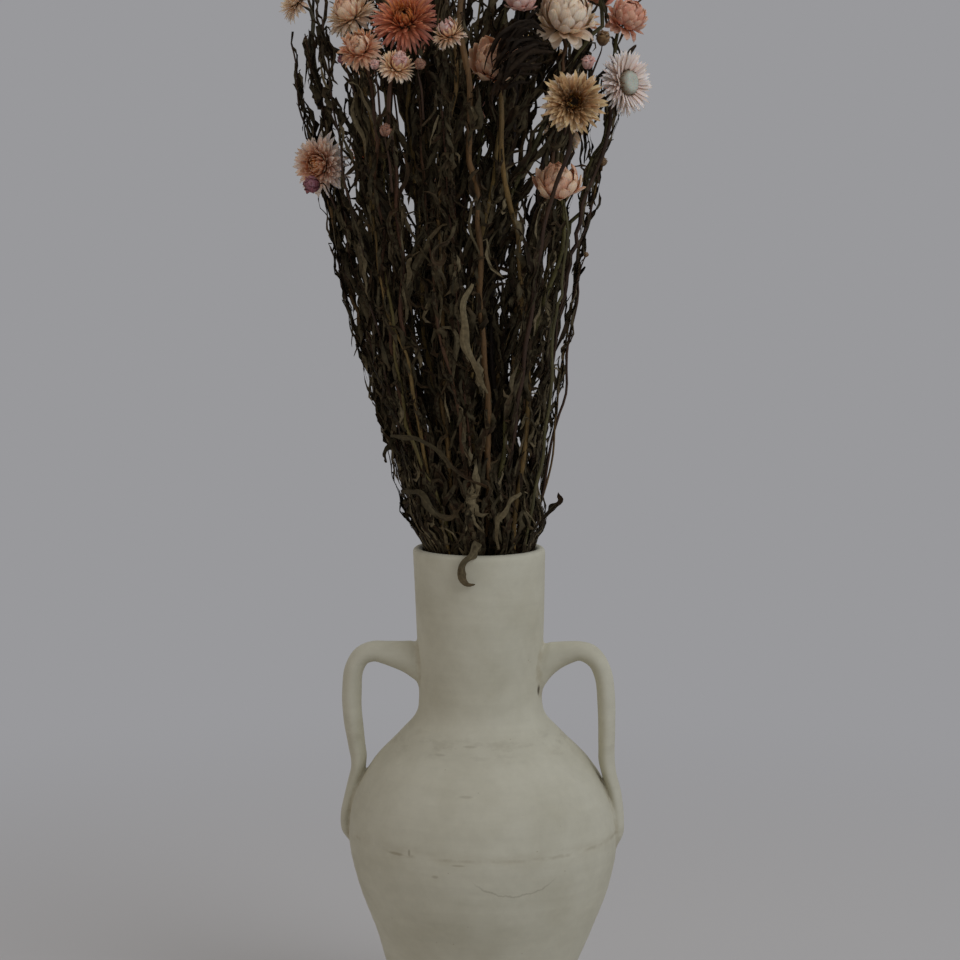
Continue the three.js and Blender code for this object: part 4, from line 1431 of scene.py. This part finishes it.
def plant_inner_shoots(trees):
    """Leafy side shoots that stand between the front heads and fill the top of the bunch."""
    draw = random.Random(INNER_SHOOTS)
    for number in range(INNER_SHOOTS):
        angle = math.radians(mix(*INNER_SHOOT_ANGLES, number / (INNER_SHOOTS - 1)))
        closer = draw.uniform(*INNER_SHOOT_CLOSER)
        points = []
        for height, share in INNER_SHOOT_ROUTE:
            middle, radius, _above = bundle_at(height)
            reach = radius * share * closer
            points.append((middle + reach * math.cos(angle), reach * math.sin(angle), height))
        seed = INNER_SHOOT_SEED + number
        plant_stalk(
            f"inner_{number:02d}", crooked(curve_through(points, STALK_STEP), seed), INNER_SHOOT_RADII,
            draw.random(), seed, {"long": INNER_SHOOT_SPACING}, draw.uniform(*INNER_SHOOT_TOPS), trees,
        )


def plant_buds(trees):
    for name, centre, way, diameter, finish, start in BUDS:
        facing, base = stand_of_head(centre, way, diameter, "bud")
        start = Vector(start)
        half_way = start.lerp(base, 0.5) + Vector((0, 0, BUD_SHOOT_RISE))
        points = [start, half_way, base - facing * BUD_SHOOT_BEND, base]
        line = stalk_line(name, curve_through(points, BUD_SHOOT_STEP), *BUD_SHOOT_RADII, BUD_SHOOT_TONE)
        bare_stalk(f"shoot_{name}", line, trees)
        flower_head(f"bud_{name}", centre, way, diameter, "bud", finish, trees)


def lay_free_leaves(trees):
    for name, width, tone, level, points in FREE_LEAVES:
        route = curve_through(points, FREE_LEAF_STEP)
        side = headings(route)[0].cross(Vector((0, 0, 1) if level else (0, -1, 0)))
        draw = random.Random(name)
        widths, turns = FREE_LEAF_WIDTHS, FREE_LEAF_TURNS
        if name == "over_rim":
            widths, turns = RIM_LEAF_WIDTHS, RIM_LEAF_TURNS
        mesh = blade(
            f"blade_{name}", route, side, width / 2, widths, FOLDED_SECTION,
            draw.uniform(*FREE_LEAF_ROLLS), draw.choice((-1, 1)) * draw.uniform(*turns),
            FREE_LEAF_THICKNESS, FREE_LEAF_CRUMPLE,
        )
        mark(mesh, "tone", [tone] * len(mesh.vertices))
        mesh.materials.append(trees["materials"]["leaf"])
        finish_piece(new_object(mesh.name, mesh), "dry_leaf", f"leaf_{name}")


def lay_tuft(trees):
    """Thin leaves that arch side by side over the shaded head, joined to one piece."""
    draw = random.Random(TUFT_LEAVES)
    leaves = []
    for number in range(TUFT_LEAVES):
        place = (number + draw.random()) / TUFT_LEAVES * (len(TUFT_GUIDES) - 1)
        low = min(int(place), len(TUFT_GUIDES) - 2)
        points = []
        for above, below in zip(TUFT_GUIDES[low], TUFT_GUIDES[low + 1]):
            stray = Vector([draw.uniform(-size, size) for size in TUFT_STRAY])
            points.append(Vector(above).lerp(Vector(below), place - low) + stray)
        route = curve_through(points, TUFT_STEP)
        route = route[draw.randint(0, 3):len(route) - draw.randint(0, len(route) // 3)]
        mesh = blade(
            f"tuft_{number:02d}", route, headings(route)[0].cross(Vector((0, -1, 0))),
            draw.uniform(*TUFT_HALF_WIDTHS), LEAF_WIDTHS, THIN_SECTION, draw.uniform(*TUFT_ROLLS),
            draw.uniform(-TUFT_TURN, TUFT_TURN), LEAF_THICKNESS, draw.uniform(*LEAF_CRINKLES),
        )
        mark(mesh, "tone", [TUFT_PALEST * draw.random() ** 3] * len(mesh.vertices))
        leaves.append(new_object(mesh.name, mesh))
    whole = leaves[0]
    whole.name = "tuft_of_leaves"
    with bpy.context.temp_override(active_object=whole, selected_editable_objects=leaves):
        bpy.ops.object.join()
    whole.data.materials.clear()
    whole.data.materials.append(trees["materials"]["tuft"])
    finish_piece(whole, "dry_leaf")


def bouquet():
    materials = {name: papery_bracts(name, colours) for name, colours in BRACT_COLOURS.items()}
    materials |= {
        "seat": dried_seat(), "disc": closed_disc(), "stalk": dried_stalk(),
        "florets": dried_florets("dried florets", "#33200e", "#4c3217", "#6c4720"),
        # Painted shade: the florets deep in the nested head are nearly black
        "shaded florets": dried_florets("shaded florets", "#1c1109", "#2e1c0d", "#452b12"),
        "leaf": dried_leaf("dried everlasting leaf", "#221c10", "#36271a", "#453d2b"),
        "tuft": dried_leaf("brown tuft leaf", "#160f08", "#28170d", "#2a2015"),
    }
    trees = {
        "whorl": whorl_tree(), "stalk": stalk_tree(), "leaf": leaf_tree(),
        "bracts": {family: bract_shapes(family) for family in BRACT_FAMILIES},
        **{sort: leaf_shapes(sort) for sort in LEAF_SORTS}, "materials": materials,
    }
    heads = [*OUTER_HEADS, *INNER_HEADS, CENTRE_HEAD]
    trees["heads"] = [
        (Vector(centre) - Vector(CAMERA_PLACE), HEAD_SHOWN * diameter / 2)
        for _name, centre, _way, diameter, *_rest in heads + BUDS if centre[1] < HEADS_BEHIND
    ]
    draw = random.Random(BOUQUET_SEED)
    outer, inner = neck_places(OUTER_RING, len(OUTER_HEADS)), neck_places(INNER_RING, len(INNER_HEADS))
    plant_heads(heads, [*outer, *inner, (0, 0)], 0, True, draw, trees)
    plant_heads(MORE_HEADS, neck_places(MIDDLE_RING, len(MORE_HEADS)), len(heads), False, draw, trees)
    plant_free_stalks(trees)
    plant_buds(trees)
    plant_inner_shoots(trees)
    lay_free_leaves(trees)
    lay_tuft(trees)
    for shapes in [*trees["bracts"].values(), *[trees[sort] for sort in LEAF_SORTS]]:
        for shape in list(shapes.objects):
            bpy.data.objects.remove(shape)
        bpy.data.collections.remove(shapes)


# Materials

def new_material(name):
    """A material, its shader, and what adds its nodes."""
    material = bpy.data.materials.new(name)
    material.use_nodes = True
    tree = material.node_tree
    return material, tree.nodes["Principled BSDF"], partial(add, tree)


def slipped_earthenware():
    """Earthenware under a cream slip: chalky, softly clouded where the slip is thin, rubbed at the
    foot of the neck, with a brown line along the sagging join at the belly, a stain, a hair crack
    in front, a slit at one handle, few specks, and darker, mottled slip along the handles' seams."""
    material, shader, put = new_material("slipped earthenware")
    place = put("TexCoord").outputs["Object"]
    spot = put("SeparateXYZ", place).outputs
    pattern = {}
    for name, (size, detail, squeezed) in SLIP_PATTERNS.items():
        drawn_out = put("Mapping", {"Vector": place, "Scale": (squeezed, squeezed, 1)})
        pattern[name] = put("TexNoise", drawn_out, per_metre(size), detail, 0.6)

    shade = 1
    for name, (darkest, lightest) in SLIP_SHADES.items():
        light = put("MapRange", pattern[name], 0.3, 0.7, darkest, lightest)
        shade = put("Math", shade, light, operation="MULTIPLY")
    clouded = put("MapRange", pattern["clouds"], 0.4, 0.68, 0, 0.8)
    slip = put("Mix", clouded, "#cfcbb6", "#bfbaa3", data_type="RGBA")
    coloured = put("Mix", 1, slip, shade, data_type="RGBA", blend_type="MULTIPLY")

    # The join sags to one side, so it lies in a slightly tilted plane
    level = put("VectorMath", place, JOIN_TILT, operation="DOT_PRODUCT").outputs["Value"]
    off_join = put("Math", level, JOIN_HEIGHT * MM, operation="SUBTRACT")
    wobble = put("Math", pattern["wobble"], 0.004, -0.002, operation="MULTIPLY_ADD")
    lines = {
        "join": put("Math", off_join, wobble, operation="ADD"),
        "neck": put("Math", spot["Z"], RUBBED_HEIGHT * MM, operation="SUBTRACT"),
    }
    marks = []
    for line, (full, gone), strength, name, patches, colour in WORN_LINES:
        away = put("Math", lines[line], operation="ABSOLUTE")
        band = put("MapRange", away, full * MM, gone * MM, strength, 0)
        patchy = put("MapRange", pattern[name], *patches)
        marks.append((put("Math", band, patchy, operation="MULTIPLY"), colour))

    off_middle = put("Math", spot["X"], HAIR_CRACK[0] * MM, operation="SUBTRACT")
    aside = put("Math", off_middle, operation="ABSOLUTE")
    squared = put("Math", aside, aside, operation="MULTIPLY")
    rise = put("Math", squared, HAIR_CRACK_BEND, HAIR_CRACK[1] * MM, operation="MULTIPLY_ADD")
    jagged = put("Math", pattern["jags"], 0.006, -0.003, operation="MULTIPLY_ADD")
    crack = put("Math", rise, jagged, operation="ADD")
    off_crack = put("Math", put("Math", spot["Z"], crack, operation="SUBTRACT"), operation="ABSOLUTE")
    ends = put("MapRange", aside, 0.022, 0.03, 1, 0)
    in_front = put("Math", ends, put("MapRange", spot["Y"], -0.05, -0.03, 1, 0), operation="MULTIPLY")
    line = put("MapRange", off_crack, 0.0001, 0.0009, 0.3, 0)
    marks.append((put("Math", line, in_front, operation="MULTIPLY"), "#6f6349"))

    for middle, size, strength, colour in VASE_SPOTS:
        apart = put("VectorMath", place, [value * MM for value in middle], operation="SUBTRACT")
        scaled = put("VectorMath", apart, [per_metre(value) for value in size], operation="MULTIPLY")
        far = put("VectorMath", scaled, operation="LENGTH").outputs["Value"]
        marks.append((put("MapRange", far, 0.5, 1, strength, 0), colour))
    specks = put("TexVoronoi", place, per_metre(15))
    marks.append((put("MapRange", specks, 0.015, 0.04, 0.5, 0), "#8d7450"))
    # The slip is drawn darker and mottled along the handles' seams, where they meet the body
    seam = put("Attribute", attribute_name="seam").outputs["Fac"]
    darker_at_seams = put("Math", seam, pattern["mottling"], operation="MULTIPLY")
    marks.append((put("MapRange", darker_at_seams, 0.3, 0.62, 0, 0.4), "#9a8c6b"))
    for mask, colour in marks:
        coloured = put("Mix", mask, coloured, colour, data_type="RGBA")

    relief = put("Math", pattern["brushing"], 0.3, pattern["grain"], operation="MULTIPLY_ADD")
    bump = put("Bump", {"Height": relief, "Strength": 0.3, "Distance": 0.25 * MM})
    fill(shader, {"Base Color": coloured, "Normal": bump, "Roughness": 0.78, "Specular IOR Level": 0.3})
    return material


def papery_bracts(name, colours):
    """Strawflower bracts: thin, dry and straw-like, a little glossy, and lit through a bit. They
    are deeper at the heart of the head, paler outside, streaked lengthwise and browned at the tip."""
    material, shader, put = new_material(f"papery {name} bracts")
    spot = put("SeparateXYZ", put("Attribute", attribute_name="blade").outputs["Vector"]).outputs
    ring = put("Attribute", attribute_name="ring").outputs["Fac"]
    tone = put("Attribute", attribute_name="tone").outputs["Fac"]
    upper = put("MapRange", spot["X"], 0.15, 0.8)
    inner = put("Mix", upper, colours[0], colours[1], data_type="RGBA")
    outer = put("Mix", upper, colours[2], colours[3], data_type="RGBA")
    base = put("Mix", put("MapRange", ring, 0.15, 0.85), inner, outer, data_type="RGBA")

    own = put("TexWhiteNoise", tone, noise_dimensions="1D").outputs["Value"]
    blush = put("Math", own, 0.55, operation="MULTIPLY")
    blushed = put("Mix", blush, base, colours[4], data_type="RGBA")
    streak = put("Math", spot["Y"], 17, tone, operation="MULTIPLY_ADD")
    ribs = put("Math", streak, operation="SINE")
    lit_ribs = put("Math", ribs, 0.05, 1, operation="MULTIPLY_ADD")
    light = put("Math", lit_ribs, put("MapRange", tone, 0, 1, 0.82, 1.12), operation="MULTIPLY")
    toned = put("Mix", 1, blushed, light, data_type="RGBA", blend_type="MULTIPLY")
    tipped = put("Mix", put("MapRange", spot["X"], 0.86, 1, 0, 0.5), toned, colours[5], data_type="RGBA")
    fill(shader, {
        "Base Color": tipped, "Roughness": 0.5, "Specular IOR Level": 0.35,
        "Subsurface Weight": 0.3, "Subsurface Radius": (1, 0.7, 0.45), "Subsurface Scale": 1.2 * MM,
    })
    return material


def dried_seat():
    """The green-brown base that a head's bracts grow from: dull and scaly, mostly hidden."""
    material, shader, put = new_material("dried flower seat")
    scales = put("TexVoronoi", put("TexCoord").outputs["Object"], per_metre(1.4))
    colour = put("Mix", scales, "#4a3820", "#2a1f12", data_type="RGBA")
    fill(shader, {"Base Color": colour, "Roughness": 0.9})
    return material


def dried_florets(name, brown, pale, tip):
    """The tuft in the middle of a head: dull brown threads with paler, golden tips, or, as painted
    shade, nearly black ones where the head is nested round them."""
    material, shader, put = new_material(name)
    spot = put("SeparateXYZ", put("Attribute", attribute_name="blade").outputs["Vector"]).outputs
    tone = put("Attribute", attribute_name="tone").outputs["Fac"]
    thread = put("Mix", tone, brown, pale, data_type="RGBA")
    fill(shader, {"Base Color": put("Mix", spot["X"], thread, tip, data_type="RGBA"), "Roughness": 0.9})
    return material


def closed_disc():
    """The daisy's middle: inner bracts dried shut to a smooth disc, greenish white on top, with
    painted shade in grey brown on its side."""
    material, shader, put = new_material("closed papery disc")
    place = put("TexCoord").outputs["Object"]
    row = put("Attribute", attribute_name="ring").outputs["Fac"]
    uneven = put("TexNoise", place, per_metre(4), 3)
    # Painted shade: grey brown on the disc's side rows, greenish white on its top
    side_shade_to_top = put("MapRange", put("Math", uneven, 0.2, row, operation="MULTIPLY_ADD"), 0.62, 0.88)
    scales = put("TexVoronoi", place, per_metre(1.1))
    fill(shader, {
        "Base Color": put("Mix", side_shade_to_top, "#7a6d58", "#bdbfae", data_type="RGBA"),
        "Normal": put("Bump", {"Height": scales, "Strength": 0.7, "Distance": 0.4 * MM}),
        "Roughness": 0.65, "Subsurface Weight": 0.2, "Subsurface Scale": 1.2 * MM,
    })
    return material


def dried_leaf(name, dark, brown, felt):
    """Leaves dried on the stalk: dark olive brown and dull above, grey olive and felted below,
    browner at the tip, and each a little lighter or darker than the next. Those of the tuft are
    a dark red brown."""
    material, shader, put = new_material(name)
    place = put("TexCoord").outputs["Object"]
    spot = put("SeparateXYZ", put("Attribute", attribute_name="blade").outputs["Vector"]).outputs
    tone = put("Attribute", attribute_name="tone").outputs["Fac"]
    blotches = put("MapRange", put("TexNoise", place, per_metre(9), 4), 0.35, 0.65)
    coloured = put("Mix", blotches, dark, brown, data_type="RGBA")
    below = put("MapRange", spot["Z"], 0.3, 0.7)
    to_tip = put("MapRange", spot["X"], 0.6, 1, 0, 0.6)
    pale = put("MapRange", tone, 0.78, 1, 0, 0.8)
    for mask, colour in ((below, felt), (to_tip, "#3c2815"), (pale, "#6b6048")):
        coloured = put("Mix", mask, coloured, colour, data_type="RGBA")
    rib = put("MapRange", put("Math", spot["Y"], operation="ABSOLUTE"), 0, 0.25, 1.35, 1)
    own = put("MapRange", tone, 0, 1, 0.6, 1.3)
    mottled = put("MapRange", put("TexNoise", place, per_metre(2.6), 3), 0.3, 0.7, 0.7, 1.3)
    ribbed = put("Math", rib, own, operation="MULTIPLY")
    light = put("Math", ribbed, mottled, operation="MULTIPLY")
    wrinkles = put("TexNoise", place, per_metre(1.6), 3)
    fill(shader, {
        "Base Color": put("Mix", 1, coloured, light, data_type="RGBA", blend_type="MULTIPLY"),
        "Normal": put("Bump", {"Height": wrinkles, "Strength": 0.6, "Distance": 0.5 * MM}),
        "Roughness": 0.8, "Specular IOR Level": 0.12,
    })
    return material


def dried_stalk():
    """Ribbed dry stalks: straw brown, some greyer or more olive, with pale fibres lengthwise
    and lighter and darker stretches along them."""
    material, shader, put = new_material("dried ribbed stalk")
    tone = put("Attribute", attribute_name="tone").outputs["Fac"]
    reach = put("Attribute", attribute_name="reach").outputs["Fac"]
    drawn_out = put("Mapping", {"Vector": put("TexCoord").outputs["Object"], "Scale": (1, 1, 0.03)})
    fibres = put("TexNoise", drawn_out, per_metre(0.7), 3, 0.6)
    kinds = put("ValToRGB", tone)
    stops = kinds.color_ramp.elements
    for number, (share, colour) in enumerate(STALK_COLOURS):
        stop = stops[number] if number < 2 else stops.new(share)
        stop.position = share
        stop.color = linear(colour)
    streaks = put("MapRange", fibres, 0.35, 0.65, 0.62, 1.25)
    wave = put("Math", reach, 1 / STALK_PATCH, operation="MULTIPLY")
    patches = put("TexNoise", wave, 1, 2, noise_dimensions="1D")
    lit = put("MapRange", patches, 0.3, 0.7, 0.75, 1.2)
    light = put("Math", streaks, lit, operation="MULTIPLY")
    fill(shader, {
        "Base Color": put("Mix", 1, kinds, light, data_type="RGBA", blend_type="MULTIPLY"),
        "Normal": put("Bump", {"Height": fibres, "Strength": 0.5, "Distance": 0.3 * MM}),
        "Roughness": 0.7, "Specular IOR Level": 0.35,
    })
    return material


# Studio

def studio_floor():
    """Matt pale floor paper. Further out it goes over to the grey all round, so no edge shows."""
    material, shader, put = new_material("studio floor paper")
    fill(shader, {"Base Color": FLOOR_COLOUR, "Roughness": 0.95})
    away = put("VectorMath", put("TexCoord").outputs["Object"], operation="LENGTH").outputs["Value"]
    fade = put("MapRange", away, *FLOOR_FADES, interpolation_type="SMOOTHSTEP")
    both = put("MixShader", fade, shader, put("Emission", AROUND))
    fill(material.node_tree.nodes["Material Output"], {"Surface": both})
    return material


def studio():
    scene = bpy.context.scene
    scene.view_settings.view_transform = "Standard"
    data = bpy.data.cameras.new("camera")
    data.sensor_width = SENSOR
    data.lens = SENSOR * FOCAL_PIXELS / PHOTO_SIZE
    eye = new_object("camera", data)
    eye.location = BOUQUET_TO_ROW @ Vector(CAMERA_PLACE)
    eye.rotation_euler = (math.radians(90 - CAMERA_PITCH), 0, math.radians(BOUQUET_TURN))
    scene.camera = eye

    world = bpy.data.worlds.new("studio")
    world.use_nodes = True
    fill(world.node_tree.nodes["Background"], {"Color": AROUND})
    scene.world = world
    middle = BOUQUET_TO_ROW @ Vector(SOFTBOXES_FACE)
    for name, (place, size, watts, colour) in SOFTBOXES.items():
        light = bpy.data.lights.new(name, "AREA")
        light.shape = "DISK"
        light.size = size * MM
        light.energy = watts
        light.color = linear(colour)[:3]
        box = new_object(name, light)
        box.location = BOUQUET_TO_ROW @ Vector(place)
        box.rotation_euler = (middle - box.location).to_track_quat("-Z", "Y").to_euler()

    ring = [(FLOOR_RADIUS * math.cos(angle), FLOOR_RADIUS * math.sin(angle), 0)
            for angle in angles_round(FLOOR_SIDES)]
    mesh = bpy.data.meshes.new("floor")
    mesh.from_pydata(ring, [], [tuple(range(FLOOR_SIDES))])
    mesh.materials.append(studio_floor())
    new_object("floor", mesh)


studio()
vase()
bouquet()
